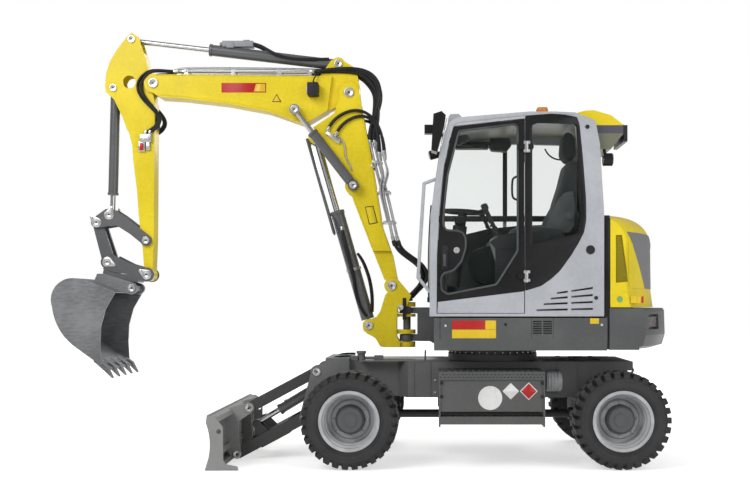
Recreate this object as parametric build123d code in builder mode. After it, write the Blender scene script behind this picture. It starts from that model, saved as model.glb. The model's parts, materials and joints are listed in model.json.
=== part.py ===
"""Wheeled midi excavator with a two-piece offset boom and a front dozer blade.

Millimetres. While modelling, the slew axis is the Z axis, -X is the front (the boom and the
blade), -Y is the cab's side and Z = 0 is the ground. At the end every piece is moved by one
offset, so that the origin lies in the middle of the machine's plan box, on the ground.
"""
from build123d import *
from math import cos, pi, radians, sin, sqrt
import os

# Undercarriage
HALF_WIDTH = 975.0          # half of the overall width, at the tyres and the blade
TYRE_R = 394.0              # out to the tips of the lugs
TYRE_W = 350.0
LUG_DEPTH = 26.0
LUG_COUNT = 30
RIM_R = 232.0               # bead seat
RIM_WALL = 12.0
RIM_RECESS = 205.0          # from the tyre's outer face to the wheel disc
DISC_WALL = 16.0
HUB_CAP_R = 122.0
FRONT_AXLE_X = -1205.0
REAR_AXLE_X = 995.0
KINGPIN_Y = 545.0
AXLE_R = 62.0
HUB_R = 88.0
SHAFT_R = 36.0
SHAFT_Z = 359.0

DECK_Z = 845.0              # top of the chassis
PLATE = 16.0                # chassis plates
FRAME_HALF = 440.0          # chassis half width between the axles
NOSE_HALF = 285.0           # chassis half width beside the steered wheels
FRAME_LOW_Z = 540.0
FRAME_REAR_X = 1172.0
FRAME_NECK_X = -745.0       # where the chassis narrows for the steered wheels
NOSE_FRONT_X = -1440.0

STEP_FRONT_X = -484.0
STEP_REAR_X = 373.0
STEP_FACE_Y = 925.0
STEP_TOP_Z = 789.0
STEP_LIP = 64.0
BOX_LOW_Z = 468.0
LOW_STEP_Z = 427.0
LOW_STEP_DEPTH = 62.0
LEG_W = 40.0

RING_R = 395.0              # slew ring
RING_SPLIT_Z = 902.0        # between the outer and the inner race

# Blade and its four-bar lift
BLADE_PIN = (-2216.0, 46.0)
BLADE_LINK_PIN = (-2114.0, 441.0)
ARM_RUN = (585.0, 312.0)    # from a blade pin to its chassis pin, the same for arm and link
BLADE_TOP_Z = 446.0
BLADE_WALL = 14.0
TIE_HOLE = (-2246.0, 314.0)
TIE_HOLE_R = 20.0
BLADE_ROD_PIN = (-2065.0, 295.0)
BLADE_CYL_PIN = (-1572.0, 590.0)
BLADE_CYL_Y = 214.0
ARM_IN = 290.0              # inner face of the blade's arms and links
ARM_OUT = 338.0
CHEEK = 18.0                # thickness of the pivot cheeks on the chassis

# Upper structure
FLOOR_Z = 960.0             # underside of the upper structure
SKIRT_TOP_Z = 1224.0
CREASE_Z = 1052.0
SKIRT_WALL = 12.0
SIDE_Y = 930.0              # outer faces of cab and skirts
SKIRT_FRONT_X = -523.0
SKIRT_REAR_X = 872.0
LOUVRE = (273.0, 426.0, 1087.0, 1199.0)   # x and z limits of the air slots in the skirts
TAIL_R = 1504.0             # swing radius of the counterweight
LAMP_FROM = 27.0            # degrees from the tail's middle to the lamp recess
LAMP_ARC = 9.0
LAMP_DEPTH = 40.0
TAIL_FRONT_X = 890.0
TAIL_TOP_Z = 1302.0
TAIL_IN_R = 1262.0
SWING_AXIS = (-767.0, 150.0)
KINGPIN_R = 34.0

# Cab
CAB_FLOOR_Z = 1236.0
CAB_RIGHT_Y = 20.0
CAB_WALL = 44.0
DOOR_EDGE = [(-502, 1259), (-499, 1736), (-482, 2074), (-449, 2413), (-403, 2638), (-366, 2767)]
DOOR_REAR_X = 209.0
DOOR_TOP_Z = 2830.0
DOOR_GAP = 6.0
DOOR_WALL = 40.0
DOOR_WINDOW = [(-322, 2727), (127, 2782), (150, 2758), (150, 1762), (-21, 1492), (-415, 1414), (-462, 1448),
               (-468, 1540), (-446, 1582), (-365, 1606), (-302, 1679), (-268, 1785), (-268, 1865), (-291, 1908), (-323, 1923),
               (-426, 1930), (-450, 1975), (-440, 2130), (-412, 2380)]
REAR_WINDOW = [(249, 1480), (249, 2822), (420, 2836), (600, 2812), (612, 2790), (644, 2525), (670, 2187), (671, 2018),
               (656, 1925), (614, 1840), (553, 1742), (464, 1622), (400, 1564), (325, 1508)]
RIGHT_WINDOWS = (
    [(-470, 1880), (-455, 2137), (-390, 2640), (-330, 2740), (95, 2760), (95, 1990), (-100, 1960), (-240, 1885)],
    [(125, 2010), (125, 2760), (640, 2750), (700, 2137), (704, 2010)])
PANE = 6.0
PANE_IN = 14.0              # from the cab's outer face to a pane
FIT = 0.3                   # running clearance round pins and beside curved faces

# Engine hood
HOOD_FRONT_X = 897.0
HOOD_LOW_Z = 1309.0
HOOD_TOP_Z = 2057.0
HOOD_R = 1402.0
HOOD_HALF = 922.0
HOOD_WALL = 24.0
GRILLE_FROM = 22.0          # degrees from the tail's middle to the grille
GRILLE_ARC = 17.0
GRILLE_Z = (1470.0, 1800.0)
HOOD_HINGE = (884.0, 2075.0)
HINGE_R = 13.0
HINGE_PIN_R = 7.0
HOOD_HINGE_Y = 560.0

# Arm: pins as (x, z) in the boom's plane
ARM_Y = 150.0
BOOM_PIN = (-901.0, 1501.0)
BOOM_CYL_PIN = (-1107.0, 1143.0)
BOOM_ROD_PIN = (-1590.0, 2838.0)
KNEE_PIN = (-1285.0, 3237.0)
ADJUST_CYL_PIN = (-1241.0, 2394.0)
ADJUST_ROD_PIN = (-1764.0, 3070.0)
STICK_CYL_PIN = (-1384.0, 3504.0)
STICK_ROD_PIN = (-3248.0, 3722.0)
STICK_PIN = (-3044.0, 3320.0)
BUCKET_CYL_PIN = (-3412.0, 3282.0)
ROCKER_PIN = (-3111.0, 1907.0)
ROCKER_ROD_PIN = (-3441.0, 2139.0)
ROCKER_END_PIN = (-3556.0, 2070.0)
LINK_PIN = (-3456.0, 1713.0)
BUCKET_PIN = (-3106.0, 1600.0)
HOOK_PIN = (-3231.0, 1477.0)

BOOM_HALF = 100.0           # half widths of the arm's members
BOOM_CHEEK = 20.0
STICK_HALF = 75.0
RUN = 5.0                   # side clearance between members that move past each other
BUCKET_HALF = 425.0
BUCKET_WALL = 14.0
ADJUST_Y = 158.0            # distance of the adjust cylinders from the boom's plane

SIDES = (("left", -1), ("right", 1))
AXLES = (("front", FRONT_AXLE_X), ("rear", REAR_AXLE_X))
PIECES = []


def keep(piece, name):
    """Label a finished piece and list it for export."""
    piece.part.label = name
    PIECES.append(piece.part)


def plate(points, y_low, y_high, bosses=(), holes=(), corner=0.0, inset=0.0, mode=Mode.ADD):
    """An (x, z) outline with round bosses and holes, (x, z, radius) each, between two y values."""
    with BuildSketch(Plane.XZ.offset(-y_high)) as outline:
        if points:
            with BuildLine():
                Polyline(*points, close=True)
            make_face()
        if inset:
            offset(amount=-inset, kind=Kind.INTERSECTION, mode=Mode.REPLACE)
        if corner:
            fillet(outline.vertices(), corner)
        for x, z, radius in bosses:
            with Locations((x, z)):
                Circle(radius)
        for x, z, radius in holes:
            with Locations((x, z)):
                Circle(radius, mode=Mode.SUBTRACT)
    extrude(outline.sketch, amount=y_high - y_low, mode=mode)


def box(x_low, x_high, y_low, y_high, z_low, z_high, mode=Mode.ADD):
    """A block between two corners."""
    with Locations(((x_low + x_high) / 2, (y_low + y_high) / 2, (z_low + z_high) / 2)):
        Box(x_high - x_low, y_high - y_low, z_high - z_low, mode=mode)


def rod(start, finish, radius, mode=Mode.ADD):
    """A round bar between two (x, y, z) points."""
    run = Vector(*finish) - Vector(*start)
    with BuildSketch(Plane(origin=start, z_dir=run)) as section:
        Circle(radius)
    extrude(section.sketch, amount=run.length, mode=mode)


def pin(place, radius, y_low, y_high, mode=Mode.ADD):
    """A round bar along Y at an (x, z) place."""
    rod((place[0], y_low, place[1]), (place[0], y_high, place[1]), radius, mode)


def both_sides(centre, inner, outer):
    """The two y spans between an inner and an outer distance from a centre plane."""
    return ((centre - outer, centre - inner), (centre + inner, centre + outer))


def towards(start, finish, distance):
    """The (x, z) point at a distance from start on the way to finish."""
    run = sqrt((finish[0] - start[0]) ** 2 + (finish[1] - start[1]) ** 2)
    return tuple(a + (b - a) * distance / run for a, b in zip(start, finish))


def barrel(base, tip, y, radius, length, rod_r, pin_r, eye_half):
    """A cylinder's barrel: its eye on the base pin, and a tube towards the rod's eye."""
    mouth = towards(base, tip, length)
    neck = towards(base, tip, pin_r + radius * 0.45)
    closed = towards(base, tip, pin_r + radius * 1.3)
    gland = towards(base, tip, length - 0.5 * radius)
    rod((neck[0], y, neck[1]), (mouth[0], y, mouth[1]), radius)
    rod((gland[0], y, gland[1]), (mouth[0], y, mouth[1]), radius + 5)
    pin(base, pin_r * 1.9, y - eye_half, y + eye_half)
    pin(base, pin_r + FIT, y - eye_half - 1, y + eye_half + 1, Mode.SUBTRACT)
    rod((closed[0], y, closed[1]), (mouth[0], y, mouth[1]), rod_r + FIT, Mode.SUBTRACT)


def piston_rod(base, tip, y, reach, rod_r, pin_r, eye_half):
    """A cylinder's rod: a bar from inside the barrel to its eye, which has a bore for the pin."""
    start = towards(tip, base, reach)
    rod((start[0], y, start[1]), (tip[0], y, tip[1]), rod_r)
    pin(tip, pin_r * 1.8, y - eye_half, y + eye_half)
    pin(tip, pin_r + FIT, y - eye_half - 1, y + eye_half + 1, Mode.SUBTRACT)


def ring_piece(inner, outer, low_z, high_z, start, arc, mode):
    """A piece of a ring round the slew axis, from a starting angle in degrees."""
    turned_plane = Plane(origin=(0, 0, 0), x_dir=(cos(radians(start)), sin(radians(start)), 0),
                         z_dir=(sin(radians(start)), -cos(radians(start)), 0))
    with BuildSketch(turned_plane) as section:
        Polygon((inner, low_z), (outer, low_z), (outer, high_z), (inner, high_z), align=None)
    revolve(section.sketch, axis=Axis.Z, revolution_arc=arc, mode=mode)


def wheel_plane(x):
    """A plane whose sketch coordinates are (y, radius) round a wheel's axis."""
    return Plane(origin=(x, 0, TYRE_R), x_dir=(0, 1, 0), z_dir=(1, 0, 0))


def turned(points, x, mode=Mode.ADD):
    """A closed (y, radius) profile turned round the wheel axis at x."""
    with BuildSketch(wheel_plane(x)) as profile:
        with BuildLine():
            Polyline(*points, close=True)
        make_face()
    revolve(profile.sketch, axis=Axis((x, 0, TYRE_R), (0, 1, 0)), mode=mode)


# Chassis: a wide box between the axles, a narrow one between the steered wheels
with BuildPart() as chassis_frame:
    neck_run = FRAME_HALF - NOSE_HALF
    with BuildSketch(Plane.XY.offset(FRAME_LOW_Z)):
        Polygon(
            (FRAME_REAR_X - 60, -FRAME_HALF), (FRAME_NECK_X, -FRAME_HALF),
            (FRAME_NECK_X - neck_run * 0.55, -NOSE_HALF), (NOSE_FRONT_X, -NOSE_HALF),
            (NOSE_FRONT_X, NOSE_HALF), (FRAME_NECK_X - neck_run * 0.55, NOSE_HALF),
            (FRAME_NECK_X, FRAME_HALF), (FRAME_REAR_X - 60, FRAME_HALF), align=None)
    extrude(amount=DECK_Z - FRAME_LOW_Z)
    box(FRAME_REAR_X - 60, FRAME_REAR_X, -FRAME_HALF, FRAME_HALF, DECK_Z - 76, DECK_Z)
    offset(amount=-PLATE, openings=chassis_frame.faces().sort_by(Axis.Z)[0], kind=Kind.INTERSECTION)
    # Room for the rear axle between the side plates
    plate([(REAR_AXLE_X - 210, FRAME_LOW_Z - 1), (REAR_AXLE_X - 90, TYRE_R + 250),
           (FRAME_REAR_X + 1, TYRE_R + 290), (FRAME_REAR_X + 1, FRAME_LOW_Z - 1)],
          -FRAME_HALF - 1, FRAME_HALF + 1, mode=Mode.SUBTRACT)
    # Rear axle seats
    for span in both_sides(0, 300, 380):
        plate([(REAR_AXLE_X - 230, DECK_Z - PLATE), (REAR_AXLE_X - 130, TYRE_R + AXLE_R + 12),
               (REAR_AXLE_X + 60, TYRE_R + AXLE_R + 12), (REAR_AXLE_X + 80, DECK_Z - PLATE)], *span)
    # Front pivot housing that the oscillating axle hangs from
    for x in (FRONT_AXLE_X - 120, FRONT_AXLE_X + 100):
        box(x - 14, x + 14, -110, 110, TYRE_R + 140, DECK_Z - PLATE)
    box(FRONT_AXLE_X - 106, FRONT_AXLE_X + 86, -70, 70, TYRE_R + 150, DECK_Z - PLATE)
    # Hose swivel, locking peg and stiffeners on the deck
    box(-1247, -1183, -290, -210, DECK_Z - 1, 886)
    rod((-1154, -250, DECK_Z - 1), (-1154, -250, 905), 34)
    rod((-1154, -250, 905), (-1154, -250, 928), 42)
    rod((-1183, -250, 866), (-985, -250, 866), 9)
    box(-1041, -963, -275, -225, DECK_Z - 1, 890)
    rod((-600, -250, DECK_Z - 1), (-596, -250, 935), 8)
    for x in (-700, -560, 520, 700):
        for y_low, y_high in both_sides(0, FRAME_HALF - 1, FRAME_HALF + 6):
            box(x, x + 12, y_low, y_high, FRAME_LOW_Z + 10, DECK_Z - 10)
    # Tow lug behind
    plate([(FRAME_REAR_X - 20, 690), (FRAME_REAR_X - 20, 800), (FRAME_REAR_X + 70, 790), (FRAME_REAR_X + 95, 745),
           (FRAME_REAR_X + 70, 700)], -22, 22, holes=[(FRAME_REAR_X + 55, 745, 24)])
keep(chassis_frame, "chassis_frame")

# Front cheeks that carry the blade's arms, links and cylinders
arm_pin = (BLADE_PIN[0] + ARM_RUN[0], BLADE_PIN[1] + ARM_RUN[1])
link_pin = (BLADE_LINK_PIN[0] + ARM_RUN[0], BLADE_LINK_PIN[1] + ARM_RUN[1])
BLADE_PIN_R = 26.0
BLADE_BOSS_R = 50.0
CHEEK_OUT = ARM_OUT + RUN
with BuildPart() as blade_bracket:
    cheek_outline = [
        (link_pin[0] - 30, link_pin[1] + 42), (FRONT_AXLE_X - 165, 871), (FRONT_AXLE_X - 45, 874),
        (FRONT_AXLE_X - 45, DECK_Z - 230), (NOSE_FRONT_X + 40, FRAME_LOW_Z), (arm_pin[0] + 42, arm_pin[1] - 28),
        (arm_pin[0] - 44, arm_pin[1] + 24), (link_pin[0] - 50, link_pin[1])]
    cheek_bosses = [(*link_pin, BLADE_BOSS_R + 5), (*arm_pin, BLADE_BOSS_R)]
    for span in both_sides(0, CHEEK_OUT, CHEEK_OUT + CHEEK):
        plate(cheek_outline, *span, bosses=cheek_bosses)
    inner_out = ARM_IN - RUN
    for span in both_sides(0, inner_out - CHEEK, inner_out):
        plate([(NOSE_FRONT_X - FIT, DECK_Z), (NOSE_FRONT_X - FIT, FRAME_LOW_Z), (arm_pin[0] + 42, arm_pin[1] - 28),
               (arm_pin[0] - 44, arm_pin[1] + 24), (link_pin[0] - 50, link_pin[1])], *span,
              bosses=cheek_bosses)
    # Front wall against the nose of the chassis, and the cylinder lugs on it
    box(NOSE_FRONT_X - FIT - PLATE, NOSE_FRONT_X - FIT, -CHEEK_OUT, CHEEK_OUT, FRAME_LOW_Z, 871)
    box(NOSE_FRONT_X - FIT - PLATE, FRONT_AXLE_X - 45, -CHEEK_OUT, CHEEK_OUT, DECK_Z + FIT, 871)
    for side, sign in SIDES:
        for span in both_sides(sign * BLADE_CYL_Y, 38, 52):
            plate([(NOSE_FRONT_X - PLATE, BLADE_CYL_PIN[1] + 90), (BLADE_CYL_PIN[0], BLADE_CYL_PIN[1] + 45),
                   (BLADE_CYL_PIN[0], BLADE_CYL_PIN[1] - 45), (NOSE_FRONT_X - PLATE, BLADE_CYL_PIN[1] - 60)],
                  *span, bosses=[(*BLADE_CYL_PIN, 45)])
        pin(BLADE_CYL_PIN, BLADE_PIN_R, *sorted((sign * (BLADE_CYL_Y - 56), sign * (BLADE_CYL_Y + 56))))
        for place in (arm_pin, link_pin):
            pin(place, BLADE_PIN_R, *sorted((sign * (inner_out - CHEEK), sign * (CHEEK_OUT + CHEEK + 6))))
keep(blade_bracket, "blade_bracket")

with BuildPart() as slew_ring:
    with BuildSketch(Plane.XY.offset(DECK_Z)):
        Circle(RING_R)
        Circle(RING_R - 75, mode=Mode.SUBTRACT)
    extrude(amount=RING_SPLIT_Z - DECK_Z)
    with BuildSketch(Plane.XY.offset(RING_SPLIT_Z)):
        with PolarLocations(RING_R - 12, 36):
            RegularPolygon(9, 6)
    extrude(amount=10)
keep(slew_ring, "slew_ring")

# Axles: the front one carries the steered knuckles, the rear one is rigid
with BuildPart() as front_axle:
    rod((FRONT_AXLE_X, -KINGPIN_Y + 62, TYRE_R), (FRONT_AXLE_X, KINGPIN_Y - 62, TYRE_R), AXLE_R)
    with Locations((FRONT_AXLE_X, 0, TYRE_R - 8)):
        Sphere(128)
    box(FRONT_AXLE_X - 60, FRONT_AXLE_X + 60, -150, 150, TYRE_R - 60, TYRE_R + 62)
    for side, sign in SIDES:
        for z in (TYRE_R - 100, TYRE_R + 76):
            with BuildSketch(Plane.XY.offset(z)):
                with Locations((FRONT_AXLE_X, sign * KINGPIN_Y)):
                    Circle(46)
                with Locations((FRONT_AXLE_X, sign * (KINGPIN_Y - 50))):
                    Rectangle(92, 100)
            extrude(amount=24)
        box(FRONT_AXLE_X - 46, FRONT_AXLE_X + 46, *sorted((sign * (KINGPIN_Y - 100), sign * (KINGPIN_Y - 74))),
            TYRE_R - 100, TYRE_R + 100)
        rod((FRONT_AXLE_X, sign * KINGPIN_Y, TYRE_R - 108), (FRONT_AXLE_X, sign * KINGPIN_Y, TYRE_R + 108), 24)
    # Trunnion that hangs in the pivot housing
    box(FRONT_AXLE_X - 80, FRONT_AXLE_X + 60, -60, 60, TYRE_R, TYRE_R + 150)
    # Steering cylinder above the drive shaft
    steer_x, steer_z = FRONT_AXLE_X + 150, TYRE_R + 60
    rod((steer_x, -300, steer_z), (steer_x, 300, steer_z), 34)
    rod((steer_x, -400, steer_z), (steer_x, 400, steer_z), 15)
    for y in (-180, 180):
        box(FRONT_AXLE_X + 40, steer_x, y - 14, y + 14, TYRE_R - 30, steer_z + 20)
keep(front_axle, "front_axle")

hub_face = HALF_WIDTH - RIM_RECESS - DISC_WALL - FIT
for side, sign in SIDES:
    with BuildPart() as knuckle:
        rod((FRONT_AXLE_X, sign * KINGPIN_Y, TYRE_R - 74), (FRONT_AXLE_X, sign * KINGPIN_Y, TYRE_R + 74), 44)
        rod((FRONT_AXLE_X, sign * KINGPIN_Y, TYRE_R), (FRONT_AXLE_X, sign * hub_face, TYRE_R), 56)
        rod((FRONT_AXLE_X, sign * (hub_face - 75), TYRE_R), (FRONT_AXLE_X, sign * hub_face, TYRE_R), HUB_R)
        box(FRONT_AXLE_X + 20, FRONT_AXLE_X + 160, *sorted((sign * (KINGPIN_Y - 22), sign * (KINGPIN_Y + 22))),
            TYRE_R + 36, TYRE_R + 70)
        rod((FRONT_AXLE_X, sign * KINGPIN_Y, TYRE_R - 80), (FRONT_AXLE_X, sign * KINGPIN_Y, TYRE_R + 80),
            24 + FIT, Mode.SUBTRACT)
    keep(knuckle, side + "_knuckle")

with BuildPart() as rear_axle:
    rod((REAR_AXLE_X, -hub_face, TYRE_R), (REAR_AXLE_X, hub_face, TYRE_R), AXLE_R)
    with Locations((REAR_AXLE_X, 0, TYRE_R)):
        Sphere(140)
    for side, sign in SIDES:
        rod((REAR_AXLE_X, sign * (hub_face - 170), TYRE_R), (REAR_AXLE_X, sign * hub_face, TYRE_R), HUB_R)
        box(REAR_AXLE_X - 60, REAR_AXLE_X + 60, *sorted((sign * 300, sign * 380)), TYRE_R, TYRE_R + AXLE_R + 11.7)
    box(REAR_AXLE_X - 260, REAR_AXLE_X - 60, -85, 85, TYRE_R - 90, TYRE_R + 100)
keep(rear_axle, "rear_axle")

with BuildPart() as drive_shaft:
    rod((FRONT_AXLE_X + 130, 0, SHAFT_Z), (REAR_AXLE_X - 260, 0, SHAFT_Z), SHAFT_R)
    for x in (FRONT_AXLE_X + 130, REAR_AXLE_X - 260 - 60):
        rod((x, 0, SHAFT_Z), (x + 60, 0, SHAFT_Z), SHAFT_R + 18)
keep(drive_shaft, "drive_shaft")

# Wheels
for axle, x in AXLES:
    for side, sign in SIDES:
        outer = sign * HALF_WIDTH
        inner = sign * (HALF_WIDTH - TYRE_W)
        root = TYRE_R - LUG_DEPTH
        with BuildPart() as tyre:
            turned([(outer - sign * (28 + FIT), RIM_R + FIT), (outer - sign * (28 + FIT), RIM_R + 14 + FIT),
                    (outer - sign * 6, RIM_R + 16),
                    (outer, RIM_R + 70), (outer - sign * 14, root - 26), (outer - sign * 30, root),
                    (inner + sign * 30, root), (inner + sign * 14, root - 26), (inner, RIM_R + 70),
                    (inner + sign * 6, RIM_R + 16), (inner + sign * (28 + FIT), RIM_R + 14 + FIT),
                    (inner + sign * (28 + FIT), RIM_R + FIT)], x)
            # Two rows of lugs, staggered by half a step
            for row_low, row_high, shift in ((inner + sign * 12, inner + sign * (TYRE_W / 2 - 8), 0.5),
                                             (inner + sign * (TYRE_W / 2 + 8), outer - sign * 12, 0.0)):
                crown = []
                for lug in range(LUG_COUNT):
                    for share, radius in ((0.0, root - 20), (0.02, TYRE_R), (0.70, TYRE_R), (0.72, root - 20)):
                        turn = 2 * pi * (lug + shift + share) / LUG_COUNT
                        crown.append((radius * cos(turn), radius * sin(turn)))
                low, high = sorted((row_low, row_high))
                with BuildSketch(Plane(origin=(x, high, TYRE_R), x_dir=(1, 0, 0), z_dir=(0, -1, 0))):
                    Polygon(*crown, align=None)
                    Circle(root - 40, mode=Mode.SUBTRACT)
                extrude(amount=high - low)
        keep(tyre, f"{axle}_{side}_tyre")
        with BuildPart() as rim:
            bead = RIM_R - RIM_WALL
            disc = outer - sign * RIM_RECESS
            turned([(outer - sign * 6, RIM_R + 14), (outer - sign * 28, RIM_R + 14), (outer - sign * 28, RIM_R),
                    (inner + sign * 28, RIM_R), (inner + sign * 28, RIM_R + 14), (inner + sign * 6, RIM_R + 14),
                    (inner + sign * 10, bead), (outer - sign * 10, bead)], x)
            turned([(disc, bead + 4), (disc - sign * DISC_WALL, bead + 4), (disc - sign * DISC_WALL, 0), (disc, 0)], x)
            turned([(disc - sign * 2, HUB_CAP_R + 46), (disc + sign * 26, HUB_CAP_R + 30),
                    (disc + sign * 34, HUB_CAP_R), (disc + sign * 92, HUB_CAP_R - 10),
                    (disc + sign * 104, HUB_CAP_R - 24), (disc + sign * 104, 0), (disc - sign * 2, 0)], x)
        keep(rim, f"{axle}_{side}_rim")

# Side boxes with a tread on top and a hanging lower step
with BuildPart() as step_boxes:
    for side, sign in SIDES:
        face = sign * STEP_FACE_Y
        wall = sign * (FRAME_HALF + FIT)
        box(STEP_FRONT_X, STEP_REAR_X, *sorted((face - sign * 12, wall)), BOX_LOW_Z, STEP_TOP_Z - STEP_LIP)
        box(STEP_FRONT_X + 8, STEP_REAR_X - 8, *sorted((face - sign * 20, wall + sign * 8)), BOX_LOW_Z + 8,
            STEP_TOP_Z - STEP_LIP - 8, Mode.SUBTRACT)
        box(STEP_FRONT_X, STEP_REAR_X, *sorted((face, wall)), STEP_TOP_Z - 20, STEP_TOP_Z)
        box(STEP_FRONT_X, STEP_REAR_X, *sorted((face, face - sign * 14)), STEP_TOP_Z - STEP_LIP, STEP_TOP_Z)
        for y in (face - sign * 60, wall):
            box(STEP_FRONT_X + 10, STEP_REAR_X - 10, *sorted((y, y + sign * 14)), STEP_TOP_Z - STEP_LIP, STEP_TOP_Z - 20)
        for x in (STEP_FRONT_X, STEP_REAR_X - 14):
            box(x, x + 14, *sorted((face, face - sign * 170)), LOW_STEP_Z - LOW_STEP_DEPTH - 20, BOX_LOW_Z)
            box(x, x + 14, *sorted((face, face - sign * 12)), BOX_LOW_Z, STEP_TOP_Z - STEP_LIP)
        box(STEP_FRONT_X, STEP_REAR_X, *sorted((face, face - sign * 170)), LOW_STEP_Z - 16, LOW_STEP_Z)
        box(STEP_FRONT_X, STEP_REAR_X, *sorted((face, face - sign * 14)), LOW_STEP_Z - LOW_STEP_DEPTH, LOW_STEP_Z)
keep(step_boxes, "step_boxes")

# Blade lift: lower arms, upper links, cylinders
with BuildPart() as blade_arm:
    for span in both_sides(0, ARM_IN, ARM_OUT):
        plate([(BLADE_PIN[0] - 22, BLADE_PIN[1] + 40), (BLADE_PIN[0] + 24, BLADE_PIN[1] - 40),
               (arm_pin[0] + 20, arm_pin[1] - 44), (arm_pin[0] - 24, arm_pin[1] + 44)], *span,
              bosses=[(*BLADE_PIN, 38), (*arm_pin, 46)],
              holes=[(*BLADE_PIN, BLADE_PIN_R + FIT), (*arm_pin, BLADE_PIN_R + FIT)])
    cross_low = towards(BLADE_PIN, arm_pin, 205)
    cross_high = towards(BLADE_PIN, arm_pin, 480)
    plate([(cross_low[0] - 22, cross_low[1] + 40), (cross_low[0] + 24, cross_low[1] - 52),
           (cross_high[0] + 24, cross_high[1] - 52), (cross_high[0] - 22, cross_high[1] + 40)],
          -ARM_IN - 5, ARM_IN + 5)
    for side, sign in SIDES:
        for span in both_sides(sign * BLADE_CYL_Y, 36, 50):
            plate([(BLADE_ROD_PIN[0] - 30, BLADE_ROD_PIN[1] + 14), (cross_low[0] - 20, cross_low[1] + 20),
                   (cross_low[0] + 110, cross_low[1] + 60), (BLADE_ROD_PIN[0] + 34, BLADE_ROD_PIN[1] + 10)],
                  *span, bosses=[(*BLADE_ROD_PIN, 36)])
keep(blade_arm, "blade_arm")

with BuildPart() as blade_link:
    for span in both_sides(0, ARM_IN, ARM_OUT):
        plate([(BLADE_LINK_PIN[0] - 6, BLADE_LINK_PIN[1] + 50), (BLADE_LINK_PIN[0] + 20, BLADE_LINK_PIN[1] - 42),
               (link_pin[0] + 16, link_pin[1] - 42), (link_pin[0] - 20, link_pin[1] + 42)], *span,
              bosses=[(*BLADE_LINK_PIN, 44), (*link_pin, 46)],
              holes=[(*BLADE_LINK_PIN, BLADE_PIN_R + FIT), (*link_pin, BLADE_PIN_R + FIT)])
    brace = towards(BLADE_LINK_PIN, link_pin, 108)
    rod((brace[0], -ARM_IN - 5, brace[1]), (brace[0], ARM_IN + 5, brace[1]), 30)
keep(blade_link, "blade_link")

with BuildPart() as blade_barrels:
    for side, sign in SIDES:
        barrel(BLADE_CYL_PIN, BLADE_ROD_PIN, sign * BLADE_CYL_Y, 43, 345, 22, BLADE_PIN_R, 32)
keep(blade_barrels, "blade_barrels")
with BuildPart() as blade_rods:
    for side, sign in SIDES:
        piston_rod(BLADE_CYL_PIN, BLADE_ROD_PIN, sign * BLADE_CYL_Y, 300, 22, 20, 30)
keep(blade_rods, "blade_rods")

# Blade: a curved mouldboard between end plates, with ears on its back
with BuildPart() as blade:
    lip_z = 4.0
    with BuildSketch(Plane.XZ.offset(-HALF_WIDTH)):
        with BuildLine():
            Line((-2358, lip_z), (-2330, 95))
            ThreePointArc((-2330, 95), (-2318, 240), (-2350, 385))
            Line((-2350, 385), (-2342, BLADE_TOP_Z))
            Line((-2342, BLADE_TOP_Z), (-2322, BLADE_TOP_Z))
            Line((-2322, BLADE_TOP_Z), (-2330, 385))
            ThreePointArc((-2330, 385), (-2300, 240), (-2312, 95))
            Line((-2312, 95), (-2336, lip_z))
            Line((-2336, lip_z), (-2358, lip_z))
        make_face()
    extrude(amount=2 * HALF_WIDTH)
    end_plate = [(-2356, lip_z), (-2318, 95), (-2306, 240), (-2338, 400), (-2338, 440), (-2280, 440), (-2212, 345),
                 (-2212, 90), (-2190, 52), (-2098, 34), (-2090, lip_z)]
    for span in both_sides(0, HALF_WIDTH - 16, HALF_WIDTH):
        plate(end_plate, *span, holes=[(*TIE_HOLE, TIE_HOLE_R)])
    # Box stiffeners along the back
    plate([(-2325, 396), (-2325, 440), (-2262, 432), (-2240, 396)], -HALF_WIDTH + 10, HALF_WIDTH - 10)
    plate([(-2320, 100), (-2320, 150), (-2270, 150), (-2270, 100)], -HALF_WIDTH + 10, HALF_WIDTH - 10)
    plate([(-2345, lip_z), (-2335, 30), (-2270, 30), (-2250, lip_z)], -HALF_WIDTH + 10, HALF_WIDTH - 10)
    ear = [(-2316, 100), (-2310, 240), (-2335, 385), (-2320, 430), (BLADE_LINK_PIN[0] + 6, BLADE_LINK_PIN[1] + 44),
           (BLADE_LINK_PIN[0] + 20, BLADE_LINK_PIN[1] - 40), (-2196, 330), (-2196, 180), (BLADE_PIN[0] + 36, 60),
           (BLADE_PIN[0] + 20, 12), (-2260, 12)]
    for span in both_sides(0, CHEEK_OUT, CHEEK_OUT + CHEEK) + both_sides(0, ARM_IN - RUN - CHEEK, ARM_IN - RUN):
        plate(ear, *span, bosses=[(*BLADE_PIN, 40), (*BLADE_LINK_PIN, 46)])
    for side, sign in SIDES:
        for place in (BLADE_PIN, BLADE_LINK_PIN):
            pin(place, BLADE_PIN_R, *sorted((sign * (ARM_IN - RUN - CHEEK), sign * (CHEEK_OUT + CHEEK + 6))))
keep(blade, "blade")

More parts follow.
